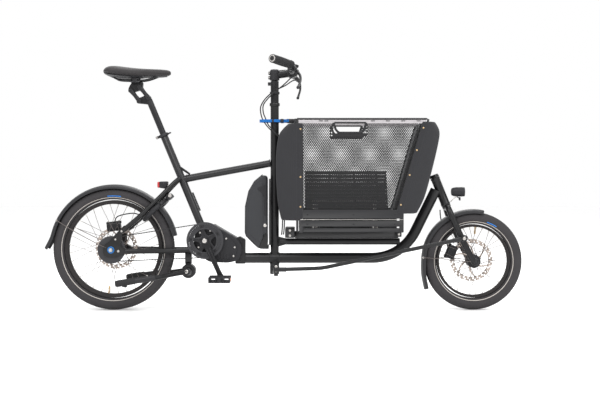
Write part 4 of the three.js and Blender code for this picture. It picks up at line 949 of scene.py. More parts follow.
def saddle():
    """Padded cover with a relief channel and a seam, its base shell, and two rails."""
    stations = [
        (-38, 42, 995, 984), (-34, 62, 1002, 980), (-24, 76, 1009, 975), (-8, 82, 1013, 971),
        (14, 81, 1013, 968),
        (40, 75, 1010, 966), (66, 65, 1007, 965), (92, 51, 1004.5, 966), (116, 39, 1003, 967),
        (142, 31, 1002, 968),
        (170, 26, 1001, 968), (198, 23.5, 1000, 969), (220, 20, 998, 971), (232, 14, 994.5, 975),
        (237, 7, 990, 980),
    ]
    rings = []
    for x, half, top, low in stations:
        ring = []
        count = 36
        for k in range(count):
            turn = 2 * math.pi * k / count
            c, s = math.cos(turn), math.sin(turn)
            middle = low + (top - low) * 0.42
            y = half * math.copysign(abs(c) ** 0.72, c)
            if s >= 0:
                z = middle + (top - middle) * s ** 0.62
                across = abs(y) / max(half, 1)
                z -= 3.2 * math.exp(-((y / 8) ** 2)) * math.exp(-(((x - 70) / 95) ** 2))
                z -= 5.5 * across ** 3 * (1 if x < 110 else 0.4)
            else:
                z = middle - (middle - low) * abs(s) ** 0.5
                y *= 0.93
            ring.append(Vector((x, y, z)))
        rings.append(ring)
    cover = piece("saddle_cover_padded", "seat", "saddle_cover", LEATHER, skin(rings), replaces=("saddle",),
                  subdivide=1,
                  smooth=180)
    seam = []
    for side in (RIGHT, LEFT):
        path = smooth_path([(x, side * (half * 0.955), low + (top - low) * 0.36) for x, half, top,
                            low in stations[1:-1]], 4)
        seam.append(tube(path, 0.9, 6))
    piece("saddle_seam", "seat", "saddle_cover", RUBBER, *seam)
    shell = skin([[
        Vector((x, 0.86 * half * c, low - 1.2 + (3 if abs(c) > 0.9 else 0) - drop * (1 - abs(c)))) for c in
        (-1, -0.6, -0.2, 0.2, 0.6, 1)
    ] + [Vector((x, 0.8 * half * c, low + 5)) for c in (1, 0.3, -0.3, -1)]
        for x, half, top, low, drop in [(*s, 5 if -20 < s[0] < 120 else 1.5) for s in stations[1:-2]]])
    piece("saddle_shell", "seat", "black_plastic", PLASTIC, shell)
    rails = [tube(smooth_path([
        (-6, 34, 972), (16, 25, RAIL_Z + 4), (50, 22, RAIL_Z), (90, 22, RAIL_Z), (126, 22, RAIL_Z),
        (160, 18, RAIL_Z + 8),
        (196, 10, 975)], 8), 3.6, 14)]
    piece("saddle_rails", "seat", "black_metal", BLACK, *both(*rails))


# ---- steering -----------------------------------------------------------------------------------
GRIP_INNER, GRIP_OUTER = Vector((734, 172, 1002)), Vector((666, 300, 1011))
LEVER_PIVOT = Vector((764, 150, 972))


def steering():
    x = COLUMN_X
    shaft = turned((x, 0, 150), (x, 0, 992), [
        (0, 11.6), (1, 12.4), (711, 12.4), (711.5, 16.6), (712, 17), (745, 17), (746.5, 19.8), (748, 20.6),
        (756, 20.6),
        (757, 17.2), (758, 17), (801, 17), (802, 12.4), (841, 12.4), (842, 11.6)], 40)
    collar = block((654, 0, 939.5), (27, 19, 14), 0, 2, 3)
    screws = [rod((646, -13, z), (646, 13, z), 3.2, 12) for z in (939.5,)]
    piece("steerer_turned", "steering", "black_metal", BLACK, shaft, collar, *screws,
          replaces=("steerer_shaft",))
    column_clamp = turned((x, 0, 954), (x, 0, 996),
                          [(0, 13), (0, 18.6), (1.6, 20), (40, 20), (42, 18.2), (42, 13)], 40, True)
    lugs = [block((653, 0, z), (22, 21, 13), 0, 2.4, 4) for z in (965, 984)]
    arm = tube(smooth_path([(679, 0, 976), (700, 0, 979), (733, 0, 984)], 6), 14.8, 28, flat=0.92)
    face = turned((740, -24, 985), (740, 24, 985), [(0, 16), (0, 19.6), (1.8, 20.9), (46.2, 20.9),
                                                    (48, 19.6), (48, 16)],
                  36, True)
    plate = prism(rounded([(750, 968), (762, 972), (764, 998), (752, 1003)], 4), -23, 23, 2)
    top = turned((x, 0, 996), (x, 0, 999.6), [(0, 17.5), (2.4, 17.2), (3.6, 15)], 36)
    piece("stem_forged", "steering", "black_metal", BLACK, column_clamp, *lugs, arm, face, plate, top,
          replaces=("stem",))
    bolts = []
    for z in (965, 984):
        bolts.append(bolt((646, -10.5, z), (0, -1, 0), 3.4, 2.6))
    for y in (-15, 15):
        bolts += [bolt((762, y, 976), (1, 0, -0.1), 3.2, 2.6), bolt((763, y, 995), (1, 0, 0), 3.2, 2.6)]
    bolts.append(bolt((x, 0, 999), (0, 0, 1), 4.5, 2))
    piece("stem_bolts", "steering", "lock_steel", STEEL, *bolts)

    half = smooth_path([(740, 0, 985), (740, 30, 985), (741, 70, 988), (741, 115, 996), GRIP_INNER,
                        GRIP_INNER.lerp(GRIP_OUTER, 0.5), GRIP_INNER.lerp(GRIP_OUTER, 0.97)], 8)
    bar_half = tube(half, 11, 28)
    knurl = cross_rod(740, 985, -26, 26, 15.3, 36)
    grips, rings, ends = [], [], []
    length = (GRIP_OUTER - GRIP_INNER).length
    profile = [(0, 15)]
    ribs = 22
    for k in range(ribs):
        a = 4 + (length - 12) * k / ribs
        b = a + (length - 12) / ribs * 0.62
        swell = 16.3 + 1.1 * math.sin(math.pi * k / ribs)
        profile += [(a, swell - 0.9), (a + 0.5, swell), (b, swell), (b + 0.5, swell - 0.9)]
    profile += [(length - 5, 17.2), (length - 1, 16.2), (length, 13)]
    grips.append(turned(GRIP_INNER, GRIP_OUTER, profile, 32))
    axis = (GRIP_OUTER - GRIP_INNER).normalized()
    rings.append(turned(GRIP_INNER - axis * 9, GRIP_INNER,
                        [(0, 11.5), (0, 17), (1, 17.8), (7.4, 17.8), (8.4, 17), (8.4, 11.5)],
                        32, True))
    ends.append(turned(GRIP_OUTER - axis * 1.5, GRIP_OUTER + axis * 1.2,
                       [(0, 9.2), (0, 13), (2, 13.4), (2.7, 12.6), (2.7, 9.2)],
                       32, True))
    piece("handlebar_tube", "steering", "black_metal", BLACK, *both(bar_half), knurl, replaces=("handlebar",))
    piece("grips_ribbed", "steering", "hose_black", RUBBER, *both(*grips))
    piece("grip_lock_rings", "steering", "black_metal", BLACK, *both(*rings))
    piece("grip_end_rings", "steering", "lock_steel", STEEL, *both(*ends))

    reservoir = block((752, 138, 983), (22, 56, 15), -14, 4, 5)
    clamp = turned((741, 122, 994), (739, 134, 996), [(0, 11.4), (0, 15), (12, 15), (12, 11.4)], 28, True)
    bridge = tube([(742, 128, 992), (750, 132, 986), (758, 144, 978), LEVER_PIVOT + Vector((0, 0, 4))],
                  [8, 9, 9, 8], 16)
    fluid_cap = block((751, 138, 991), (17, 44, 3), -14, 1, 3)
    switch = [turned((741, 88, 991), (741, 108, 995),
                     [(0, 11.4), (0, 17), (2, 18), (18, 18), (20, 17), (20, 11.4)], 28, True),
              block((752, 98, 982), (14, 16, 12), -20, 3, 4)]
    piece("lever_housings", "steering", "black_metal", BLACK, *both(reservoir, clamp, bridge, fluid_cap))
    piece("bar_switches", "steering", "black_plastic", PLASTIC, *both(*switch))
    bell = turned((741, -64, 988), (748, -64, 1006), [(0, 5), (2, 12), (10, 12), (15, 9), (17, 3)], 28)
    piece("bell_dome", "steering", "black_metal", BLACK, bell)
    for side in (RIGHT, LEFT):
        word = WORDS[side]
        path = smooth_path([LEVER_PIVOT, (774, 172, 958), (776, 205, 934), (770, 240, 914),
                            (766, 262, 902)], 7)
        radii = [6.4 - 1.2 * math.sin(math.pi * i / (len(path) - 1)) for i in range(len(path))]
        blade = tube(path, radii, 18, flat=0.72)
        tip = turned(Vector((767, 256, 904)), Vector((765, 266, 900)),
                     [(0, 5), (4, 6.4), (8, 6.4), (11, 4)], 18)
        eye = turned(LEVER_PIVOT - Vector((5, 2.3, 3.8)), LEVER_PIVOT + Vector((5, 2.3, 3.8)),
                     [(0, 7), (1, 8), (12, 8), (13, 7)], 24)
        piece(f"lever_blade_{word}", f"lever_{word}", "basket_frame", BLACK, *on_side(side, blade, tip, eye),
              replaces=(f"brake_lever_{word}",))
    screen = prism(rounded([(722, 1016), (766, 1008), (770, 1015), (728, 1027)], 2.5, 3), -29.5, 29.5, 2)
    glass = prism([(731.5, 1023.6), (765.5, 1014.4), (766, 1016), (732, 1025.4)], -25, 25, 0.4)
    mount = [block((741, 26, 1000), (16, 6, 26), -12, 1.5), block((741, -26, 1000), (16, 6, 26), -12, 1.5)]
    piece("display_case", "steering", "black_plastic", PLASTIC, screen, *mount, replaces=("display_unit",))
    piece("display_screen", "steering", "black_plastic", DISPLAY, glass)

    rear_ball = Vector((x + 8, -105, 176))
    fork_ball = Vector((1440, -113, 303))
    clamp = turned((x, 0, 148), (x, 0, 185), [(0, 13), (0, 19), (1.5, 20), (35, 20), (37, 19), (37, 13)],
                   36, True)
    arm = tube([(x, -10, 158), (x + 3, -50, 158), (rear_ball.x, rear_ball.y + 2, 158)], [11, 8.4, 8], 24,
               flat=0.8)
    seat = rod((rear_ball.x, rear_ball.y, 150), (rear_ball.x, rear_ball.y, 166), 9, 28, 1.2)
    pin = rod((rear_ball.x, rear_ball.y, 153), (rear_ball.x, rear_ball.y, 193.5), 3.9, 16)
    nut = turned((rear_ball.x, rear_ball.y, 186), (rear_ball.x, rear_ball.y, 192),
                 [(0, 7), (4.5, 7), (6, 6)], 6)
    piece("steering_arm_forged", "steering", "frame_paint", PAINT, clamp, arm, seat,
          replaces=("steering_arm",))
    piece("steering_arm_pin", "steering", "lock_steel", STEEL, pin, nut)

    bend = Vector((860, -106.5, 181))
    towards = (fork_ball - bend).normalized()
    start = rear_ball + Vector((8, 0, 0))
    end = fork_ball - towards * 13
    rod_path = [start, start.lerp(bend, 0.5), bend - Vector((26, 0, 0.6)), bend + Vector((0, 0, 1.2)),
                bend + towards * 26,
                bend.lerp(end, 0.5), end]
    radii = [7.9] * 7
    bar_piece = tube(rod_path, radii, 24)
    sleeves = [rod(start + Vector((6, 0, 0)), start + Vector((34, 0, 0)), 9.4, 24),
               rod(end - towards * 34, end - towards * 6, 9.4, 24)]
    eye_rear = turned(rear_ball + Vector((0, 0, -8)), rear_ball + Vector((0, 0, 8)),
                      [(0, 5), (0, 10.5), (3, 12), (13, 12), (16, 10.5), (16, 5)], 28, True)
    eye_front = turned(fork_ball + Vector((0, 4.5, 0)), fork_ball + Vector((0, -4.5, 0)),
                       [(0, 9.8), (0, 13), (2, 14), (7, 14), (9, 13), (9, 9.8)], 32, True)
    piece("tie_rod_bent", "tie_rod", "frame_paint", PAINT, bar_piece, *sleeves, eye_rear, eye_front,
          replaces=("tie_rod",))


def fork():
    blades = [tube(smooth_path([(1387.5, -1, 422), (1387.5, 28, 424), (1393, 43, 408), (1408, 48, 372),
                                (1442, 54, 296),
                                (1478, 58, 222), (1493, 58.5, 199)], 8), 12.8, 28, flat=0.94)]
    steerer = rod(HEAD_LOW - HEAD_AXIS * 14, HEAD_LOW + HEAD_AXIS * 131, 12.4, 28)
    race = turned(HEAD_LOW - HEAD_AXIS * 16, HEAD_LOW - HEAD_AXIS * 2.8,
                  [(0, 17), (2, 18.4), (10, 18.4), (13, 19.6)], 36)
    cap = turned(HEAD_LOW + HEAD_AXIS * 119.5, HEAD_LOW + HEAD_AXIS * 132,
                 [(0, 19.6), (5, 19.4), (8, 17), (12, 16.4), (12.4, 12)],
                 36)
    tips = []
    for y0, y1 in ((50.6, 61.5),):
        tips.append(cross_rod(FRONT["x"], FRONT["z"], y0, y1, 17, 36, 1.5))
    lug = [rod((1440, -58, 304), (1440, -88, 303), 10, 24, 1.2)]
    piece("fork_blades", "fork", "frame_paint", PAINT, *both(*blades, *tips), steerer, race, cap, *lug,
          replaces=("fork",))
    pin = rod((1439, -86, 303), (1440, -120.5, 303), 4.4, 16)
    ball = turned((1440, -104, 303), (1440, -121, 303),
                  [(0, 5), (2, 7.6), (6, 9), (11, 9), (15, 7), (17, 4.5)], 24)
    piece("tie_rod_ball", "fork", "lock_steel", STEEL, pin, ball)
    caps = both(turned((FRONT["x"], 61.3, FRONT["z"]), (FRONT["x"], 68, FRONT["z"]),
                       [(0, 15), (3, 14.6), (5.6, 11), (6.4, 4)], 32),
                turned((FRONT["x"], 66, FRONT["z"]), (FRONT["x"], 70, FRONT["z"]),
                       [(0, 6), (3.2, 5.6), (3.8, 4.4)], 6))
    piece("front_axle_caps", "fork", "black_metal", BLACK, *caps,
          cross_rod(FRONT["x"], FRONT["z"], -60, 60, 4.9, 16))


# ---- lights, lock, stand, brakes ----------------------------------------------------------------
def lights():
    case = prism(rounded([(190, 533), (190, 507), (222, 502), (224, 534)], 5, 4), -25, 25, 4, 3)
    foot = [rod((216, 0, 508), (250, 0, 522), 3.9, 16), cross_rod(250, 522, -18.6, 18.6, 3.9, 16)]
    piece("rear_light_case", "root", "black_plastic", PLASTIC, case, *foot, replaces=("rear_light",))
    lens = prism(rounded([(182.5, 531), (182.5, 508.5), (192, 506.5), (192, 533)], 3, 3), -24, 24, 3, 3)
    piece("rear_light_lens", "root", "black_plastic", RED, lens)
    plate = [prism(rounded([(214, 502), (238, 507), (240, 517), (228, 520), (214, 512)], 3, 3), 10, 13, 0.6),
             prism(rounded([(214, 502), (238, 507), (240, 517), (228, 520), (214, 512)], 3, 3), -13, -10,
                   0.6)]
    piece("rear_light_bracket", "root", "lock_steel", STEEL, *plate)

    shell = turned((1404, 0, 490), (1463, 0, 490), [
        (0, 6), (2, 14), (8, 17.5), (20, 19.5), (44, 20), (50, 19.4), (56, 19.2), (56, 17.4), (52, 17),
        (52, 2)], 40)
    vents = [rod((1412 + 6 * k, -14, 507 - abs(k - 2)), (1412 + 6 * k, 14, 507 - abs(k - 2)), 1.6,
                 8) for k in range(5)]
    piece("front_light_case", "fork", "black_plastic", PLASTIC, shell, *vents, replaces=("front_light",))
    lens = turned((1452, 0, 490), (1461, 0, 490), [(0, 17), (6, 17), (8, 15), (9, 8), (9.2, 0.05)], 40)
    piece("front_light_glass", "fork", "lock_steel", CLEAR, lens)
    wires = [tube(smooth_path([(1403, y, 448), (1412, y, 460), (1421, y, 466), (1424, y * 0.6, 474)], 6),
                  1.7, 10)
             for y in (-4, 4)]
    knuckle = rod((1424, -6, 472), (1424, 6, 472), 4.6, 20)
    piece("front_light_bracket", "fork", "lock_steel", STEEL, *wires, knuckle)
    reflector = block((1440, 0, 461), (5, 22, 14), 0, 1.2, 2)
    piece("front_reflector", "fork", "black_plastic", PLASTIC, reflector,
          rod((1428, 0, 470), (1440, 0, 462), 2, 10))


def lock_point(turn, radius=64.0):
    out = 237 + radius * math.cos(math.radians(turn))
    lean = math.radians(43)
    return Vector((out * math.cos(lean), radius * math.sin(math.radians(turn)), 253 + out * math.sin(lean)))


def ring_lock():
    arc = [lock_point(-152 + 8 * k) for k in range(39)]
    body = tube(arc, 9.8, 20)
    head = block(lock_point(0, 80), (25, 72, 21), -43, 5, 6)
    cover = block(lock_point(0, 80), (28, 46, 15), -43, 3, 5)
    eyes = [rod(lock_point(s * 58, 66), lock_point(s * 58, 86), 5.5, 16) for s in (-1, 1)]
    piece("ring_lock_case", "root", "black_plastic", PLASTIC, body, head, cover, *eyes,
          replaces=("ring_lock_body",))
    keyhole = turned(lock_point(-16, 92) + Vector((0, -20, 0)), lock_point(-16, 92) + Vector((0, -27, 0)),
                     [(0, 7.5), (5.5, 7.5), (6.5, 6.6), (6.5, 2)], 28)
    piece("ring_lock_cylinder", "root", "lock_steel", STEEL, keyhole)
    bow = tube([lock_point(60 + 5 * k) for k in range(18)], 4.1, 16)
    piece("ring_lock_bow", "lock_shackle", "lock_steel", STEEL, bow, replaces=("ring_lock_shackle",))


def stand():
    post = block((310, 0, 217), (27, 31, 54), 0, 3, 4)
    head = cross_rod(311, 161, -28.8, 28.8, 28.6, 48, 2.5)
    bridge = block((310, 0, 182), (23, 31, 36), 0, 2, 3)
    ribs = [cross_rod(311, 161, y - 1.4, y + 1.4, 29.6, 48, 0.6) for y in (-18, 18)]
    piece("stand_bracket_cast", "root", "frame_paint", PAINT, post, head, bridge, *ribs,
          replaces=("stand_bracket",))
    pivot, lean = Vector((311, 46, 161)), Vector((-0.32, 0.9385, 0.1297))
    for side in (RIGHT, LEFT):
        word = WORDS[side]
        path = smooth_path([pivot, (288, 50, 158), (262, 60, 154), (225, 84, 148), (180, 112, 142),
                            (70, 132, 127)], 8)
        leg = tube(path, [11 - 1.4 * min(1, i / 20) for i in range(len(path))], 24)
        knuckle = turned(pivot - lean * 11, pivot + lean * 11,
                         [(0, 13.6), (1.4, 15), (20.6, 15), (22, 13.6)], 32)
        sleeve = rod((186, 110, 142.8), (104, 126.5, 131.8), 12.2, 28, 1.5)
        piece(f"stand_tube_{word}", f"stand_leg_{word}", "black_metal", BLACK,
              *on_side(side, leg, knuckle, sleeve),
              replaces=(f"stand_leg_{word}",))
        boot = turned((108, 128, 133), (28, 137, 120),
                      [(0, 12), (3, 13.6), (66, 13.8), (76, 13.2), (81, 10)], 28)
        bump = block((66, 133, 112.5), (20, 16, 10), 10, 3, 4)
        piece(f"stand_boot_{word}", f"stand_leg_{word}", "hose_black", RUBBER, *on_side(side, boot, bump))
        screw = [bolt(pivot + lean * 10.6, tuple(lean), 8, 3.4)]
        piece(f"stand_bolt_{word}", f"stand_leg_{word}", "lock_steel", STEEL, *on_side(side, *screw))
        rivet = [bolt((158, 112.5 + 12.5, 139), (0.1, 1, 0), 3.4, 1.6)]
        piece(f"stand_rivet_{word}", f"stand_leg_{word}", "lock_steel", BRASS, *on_side(side, *rivet))


def calipers():
    for name, wheel, angle, body, node, hose in (
        ("rear", REAR, 97, "root", "rear_caliper",
         [(-11, 62, 352), (2, 63, 384), (60, 66, 398), (92, 72, 392), (104, 75, 382)]),
        ("front", FRONT, 158, "fork", "front_caliper",
         [(1400, 40, 246), (1388, 42, 290), (1378, 40, 330), (1366, 34, 380), (1362, 26, 414)]),
    ):
        turn = math.radians(angle)
        out = Vector((math.cos(turn), 0, math.sin(turn)))
        across = Vector((-out.z, 0, out.x))
        centre = Vector((wheel["x"], wheel["rotor_y"], wheel["z"])) + out * 88
        shapes = []
        for dy in (-9.8, 9.8):
            shapes.append(block(centre + Vector((0, dy, 0)), (32, 12, 58), -angle, 3, 7))
            for k in (-1, 1):
                p = centre + across * 15 * k + Vector((0, dy * 1.58, 0))
                shapes.append(turned(p, p + Vector((0, math.copysign(2.4, dy), 0)),
                                     [(0, 9), (1.6, 9), (2.4, 7.5)], 28))
        shapes.append(block(centre + out * 12.6, (8, 24, 56), -angle, 2, 3))
        shapes.append(block(centre + out * 18 + Vector((0, 6, 0)), (12, 12, 64), -angle, 2, 3))
        piece(f"{name}_caliper_cast", body, "black_metal", BLACK, *shapes, replaces=(node,))
        piece(f"{name}_caliper_hose", body, "hose_black", RUBBER, tube(smooth_path(hose, 8), 2.4, 14))
        bolts = [bolt(centre + out * 24 + across * 24 * k + Vector((0, 6, 0)), tuple(out), 4,
                      3.4) for k in (-1, 1)]
        piece(f"{name}_caliper_bolts", body, "lock_steel", STEEL, *bolts)


# ---- basket -------------------------------------------------------------------------------------


def front_edge(z):
    return 1194 + (1298 - 1194) * (z - 432) / (788 - 432)


def perforated_sheet(side):
    """Sheet with staggered round holes, a solid margin and a handle slot."""
    pitch_x, pitch_z, hole, thick = 8.1, 6.1, 3.0, 1.5
    columns, rows = 74, 57
    start_x, start_z = 768.0, 423.0
    points, faces = [], []
    index = {}

    def corner(x, z, y):
        key = (round(x * 50), round(z * 50), y)
        if key not in index:
            index[key] = len(points)
            points.append(Vector((x, y, z)))
        return index[key]

    y_near, y_far = 136.5 + thick / 2, 136.5 - thick / 2
    for row in range(rows):
        z = start_z + row * pitch_z
        low, high = z, z + pitch_z
        shift = (row % 2) * pitch_x / 2
        limit = front_edge(z) - 14
        for column in range(-1, columns):
            left = start_x + column * pitch_x + shift
            right = left + pitch_x
            if left < start_x - 1 or right > limit:
                continue
            cx, cz = (left + right) / 2, (low + high) / 2
            in_slot = 908 < cx < 1042 and cz > 726
            if in_slot:
                continue
            solid_cell = 904 < cx < 1046 and cz > 716
            frame_points = [(left, low), (cx, low), (right, low), (right, cz), (right, high), (cx, high),
                            (left, high), (left, cz)]
            if solid_cell:
                for y in (y_near, y_far):
                    faces.append(tuple(corner(px, pz, y) for px, pz in frame_points))
                continue
            hole_points = []
            for k in range(8):
                turn = math.radians(-135 + 45 * k)
                hole_points.append((cx + hole * math.cos(turn), cz + hole * math.sin(turn)))
            for k in range(8):
                n = (k + 1) % 8
                a, b = frame_points[k], frame_points[n]
                c, d = hole_points[n], hole_points[k]
                for y in (y_near, y_far):
                    faces.append((corner(*a, y), corner(*b, y), corner(*c, y), corner(*d, y)))
                faces.append((corner(*d, y_near), corner(*c, y_near), corner(*c, y_far), corner(*d, y_far)))
    shape = (points, faces)
    return shape if side == LEFT else mirrored(shape)


def basket_side(side):
    word = WORDS[side]
    body = f"side_{word}"
    sheet = perforated_sheet(side)
    piece(f"basket_mesh_{word}", body, "basket_frame", SHEET, sheet, smooth=30,
          replaces=(f"basket_side_{word}",))

    shapes = []
    shapes.append(tube([(762, 136, 786), (1040, 136, 786), (1284, 136, 786)], 4.6, 16))
    front = [(front_edge(z) - 5, 136, z) for z in (784, 740, 680, 620, 560, 500, 440)]
    shapes.append(tube([(1282, 136, 786), *front], 4.6, 16))
    shapes.append(tube([(763, 136, 330), (763, 136, 560), (763, 136, 786)], 4.6, 16))
    piece(f"basket_rim_{word}", body, "basket_frame", TRIM, *on_side(side, *shapes))

    band = prism(rounded([(768, 768), (768, 782), (1283, 782), (1279, 768)], 1.2, 2), 134.4, 139, 0.8)
    slot_plate = prism(rounded([(904, 771), (914, 741), (926, 727), (1026, 727), (1038, 741), (1046, 771),
                                (1036, 771),
                                (1028, 746), (1018, 735), (932, 735), (922, 746), (914, 771)], 2, 2), 134,
                                140.2, 1.2)
    frames = [prism([(768, 421), (772, 421), (772, 770), (768, 770)], 135.2, 138, 0.4)]
    # The top band and the rear edge strip carry the painted reflection, a light grey copy of the black sheet
    # material
    piece(f"basket_band_{word}", body, "basket_metal", SHEET_PAINTED_REFLECTION, *on_side(side, band, *frames))
    piece(f"basket_handle_frame_{word}", body, "basket_frame", TRIM, *on_side(
        side, slot_plate, prism(rounded([(912, 768), (912, 774), (1040, 774), (1040, 768)], 1.5, 2), 133.6,
                                140.4, 0.8)))
    marks = []
    for x in (858, 880, 1068, 1128, 1190, 1252):
        marks.append(block((x, 139.6, 778), (16, 1.8, 3.4), 0, 0.6, 1))
    rails = [
        prism(rounded([(776, 352), (776, 376), (1188, 376), (1188, 352)], 3, 3), 131.5, 140.8, 2),
        prism(rounded([(776, 384), (776, 420), (1192, 420), (1190, 384)], 3, 3), 131.5, 141, 2),
        prism(rounded([(778, 330), (778, 346), (1186, 346), (1186, 330)], 3, 3), 131.5, 138, 2),
        prism(rounded([(770, 328), (770, 424), (788, 424), (788, 328)], 3, 3), 131.2, 140.2, 2),
        prism(rounded([(1174, 328), (1176, 424), (1192, 424), (1192, 328)], 3, 3), 131.2, 140.2, 2),
    ]
    piece(f"basket_rails_{word}", body, "basket_frame", TRIM, *on_side(side, *rails, *marks))
    # Thin bright steel line in the gap above the 352-376 rail: a painted highlight on that rail's top edge,
    # not a real part
    line = [tube([(776, 140.6, 380.3), (1190, 140.6, 380.3)], 0.9, 8)]
    screws = []
    for z in (400, 362):
        for x in (804, 990, 1156):
            screws.append(bolt((x, 140.6, z), (0, 1, 0), 3.2, 1.4))
    piece(f"basket_rail_painted_highlight_{word}", body, "lock_steel", STEEL, *on_side(side, *line))
    piece(f"basket_rail_screws_{word}", body, "lock_steel", BLACK, *on_side(side, *screws))
    hinges = [rod((x, 125, HINGE_Z), (x + 24, 125, HINGE_Z), 4.4, 18) for x in (860, 1060)]
    ears = [block((x + 12, 129, HINGE_Z), (23, 7, 8), 0, 1.5, 2) for x in (860, 1060)]
    piece(f"basket_side_hinges_{word}", body, "basket_frame", TRIM, *on_side(side, *hinges, *ears))


def cloth_flap(side, front):
    """One folded half of a textile end wall: a soft V with a creased spine, stitched to the side wall."""
    word, end = WORDS[side], "front" if front else "rear"
    layer = 0 if side == RIGHT else 7
    creases = [(1247, 402), (1279, 466), (1308, 568), (1336, 686), (1341, 739), (1322, 777)] if front else [
        (698, 374), (681, 460), (675, 621), (685, 714), (702, 745), (728, 770)]
    sign = 1 if front else -1
    spine = smooth_path([(x, 0, z) for x, z in creases], 5)
    rings = []
    for i, crease in enumerate(spine):
        z = crease.z
        wall = front_edge(z) if front else 758
        inner = wall + (-13 - layer if front else 12 + layer)
        sag = 1.6 * math.sin(i * 0.9 + (2 if front else 0))
        overlap = 26 if front else -28
        mid_out = (wall + crease.x) / 2 + sign * (1.5 + sag)
        mid_in = (crease.x * 0.55 + inner * 0.45) + sign * (0.8 + sag * 0.5)
        outer_side = [
            (wall - overlap, 142.6), (wall - overlap * 0.4, 142.8), (wall, 142.0), (mid_out, 133 + sag * 0.4),
            (crease.x - sign * 5, 119), (crease.x - sign * 0.8, 114), (crease.x - sign * 1.5, 109),
            (mid_in, 84 + sag),
            (inner + sign * 6, 50), (inner, 38), (inner, 0), (inner, -36),
        ]
        thick = 1.5 * sign
        inner_side = [
            (inner - thick, -36), (inner - thick, 0), (inner - thick, 39), (inner + sign * 6 - thick, 51),
            (mid_in - thick, 85.5 + sag), (crease.x - sign * 4.4, 109.5), (crease.x - sign * 4.6, 112.6),
            (crease.x - sign * 8, 116.6), (mid_out - thick, 131 + sag * 0.4), (wall, 141.0),
            (wall - overlap * 0.4, 141.4),
            (wall - overlap, 141.2),
        ]
        rings.append([Vector((x, y, z)) for x, y in [*outer_side, *inner_side]])
    shape = on_side(side, skin(rings))
    flap = piece(f"cloth_{end}_{word}", f"side_{word}", "basket_cloth", CLOTH, *shape,
                 replaces=(f"gusset_{end}_{word}",), subdivide=1, smooth=180)
    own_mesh(flap)
    rivets = []
    for z in (440, 560, 660, 750) if front else (432, 552, 745):
        wall = front_edge(z) if front else 758
        rivets.append(bolt((wall - (16 if front else -18), 142.6, z), (0, 1, 0), 3.4, 1.5))
    piece(f"cloth_rivets_{end}_{word}", f"side_{word}", "lock_steel", BRASS, *on_side(side, *rivets))
    return flap


def cloth_centre(front):
    """Middle strip of an end wall, held by the bicycle's own frame."""
    end = "front" if front else "rear"
    rings = []
    for k in range(9):
        z = 372 + 50 * k
        base = (front_edge(z) - 30) if front else 786
        thick = 1.4
        wave = 1.5 * math.sin(k * 1.3)
        ring = []
        for y in range(-40, 41, 10):
            ring.append(Vector((base + wave * math.cos(y / 14), y, z)))
        for y in range(40, -41, -10):
            ring.append(Vector((base + thick + wave * math.cos(y / 14), y, z)))
        rings.append(ring)
    leaf = piece(f"cloth_{end}_centre", "root", "basket_cloth", CLOTH, skin(rings), subdivide=1, smooth=180)


def basket_floor():
    for side in (RIGHT, LEFT):
        word = WORDS[side]

        def floor_point(x, along, above):
            return Vector((x, along * math.cos(FOLD) + above * math.sin(FOLD),
                           HINGE_Z + (270 - along) * math.sin(FOLD) + above * math.cos(FOLD)))

        shapes = []
        rows = 14
        for i in range(rows):
            a = 3 + 243 * i / rows
            b = a + 243 / rows * 0.8
            ring0 = [floor_point(797, a, 6.4), floor_point(797, b, 6.4), floor_point(797, b, 10.6),
                     floor_point(797, a, 10.6)]
            ring1 = [floor_point(1133, a, 6.4), floor_point(1133, b, 6.4), floor_point(1133, b, 10.6),
                     floor_point(1133, a, 10.6)]
            shapes.append(skin([ring0, ring1]))
        for x in (798, 896, 1000, 1092, 1130):
            shapes.append(tube([floor_point(x, 2, 8), floor_point(x, 247, 8)], 2.3, 10))
        knuckles = [rod(floor_point(x, 270, 0), floor_point(x + 22, 270, 0), 4.4, 18) for x in (888, 1034)]
        tongues = [tube([floor_point(x + 11, 238, 8.5), floor_point(x + 11, 255, 5),
                         floor_point(x + 11, 269, 0)],
                        [9, 9, 8], 14, flat=0.32) for x in (888, 1034)]
        piece(f"floor_slats_{word}", f"floor_{word}", "basket_frame", SHEET,
              *on_side(side, *shapes, *knuckles, *tongues),
              replaces=(f"basket_floor_{word}",))
        shift = 0 if side == RIGHT else 14
        bars = []
        head = Vector((0, 135 * math.cos(FOLD), HINGE_Z + 135 * math.sin(FOLD)))
        for x in (830 + shift, 1080 + shift):
            low, high = Vector((x, 0, HINGE_Z)), Vector((x, head.y, head.z))
            bars.append(tube([low, high], 4.8, 16))
            bars.append(rod((x - 6, 0, HINGE_Z), (x + 6, 0, HINGE_Z), 5.5, 20))
            bars.append(rod((x - 6, head.y, head.z), (x + 6, head.y, head.z), 6, 20))
        bars.append(rod((830 + shift, head.y, head.z), (1080 + shift, head.y, head.z), 4.1, 16))
        piece(f"floor_strut_bars_{word}", f"strut_{word}", "lock_steel", STEEL, *on_side(side, *bars),
              replaces=(f"floor_strut_{word}",))


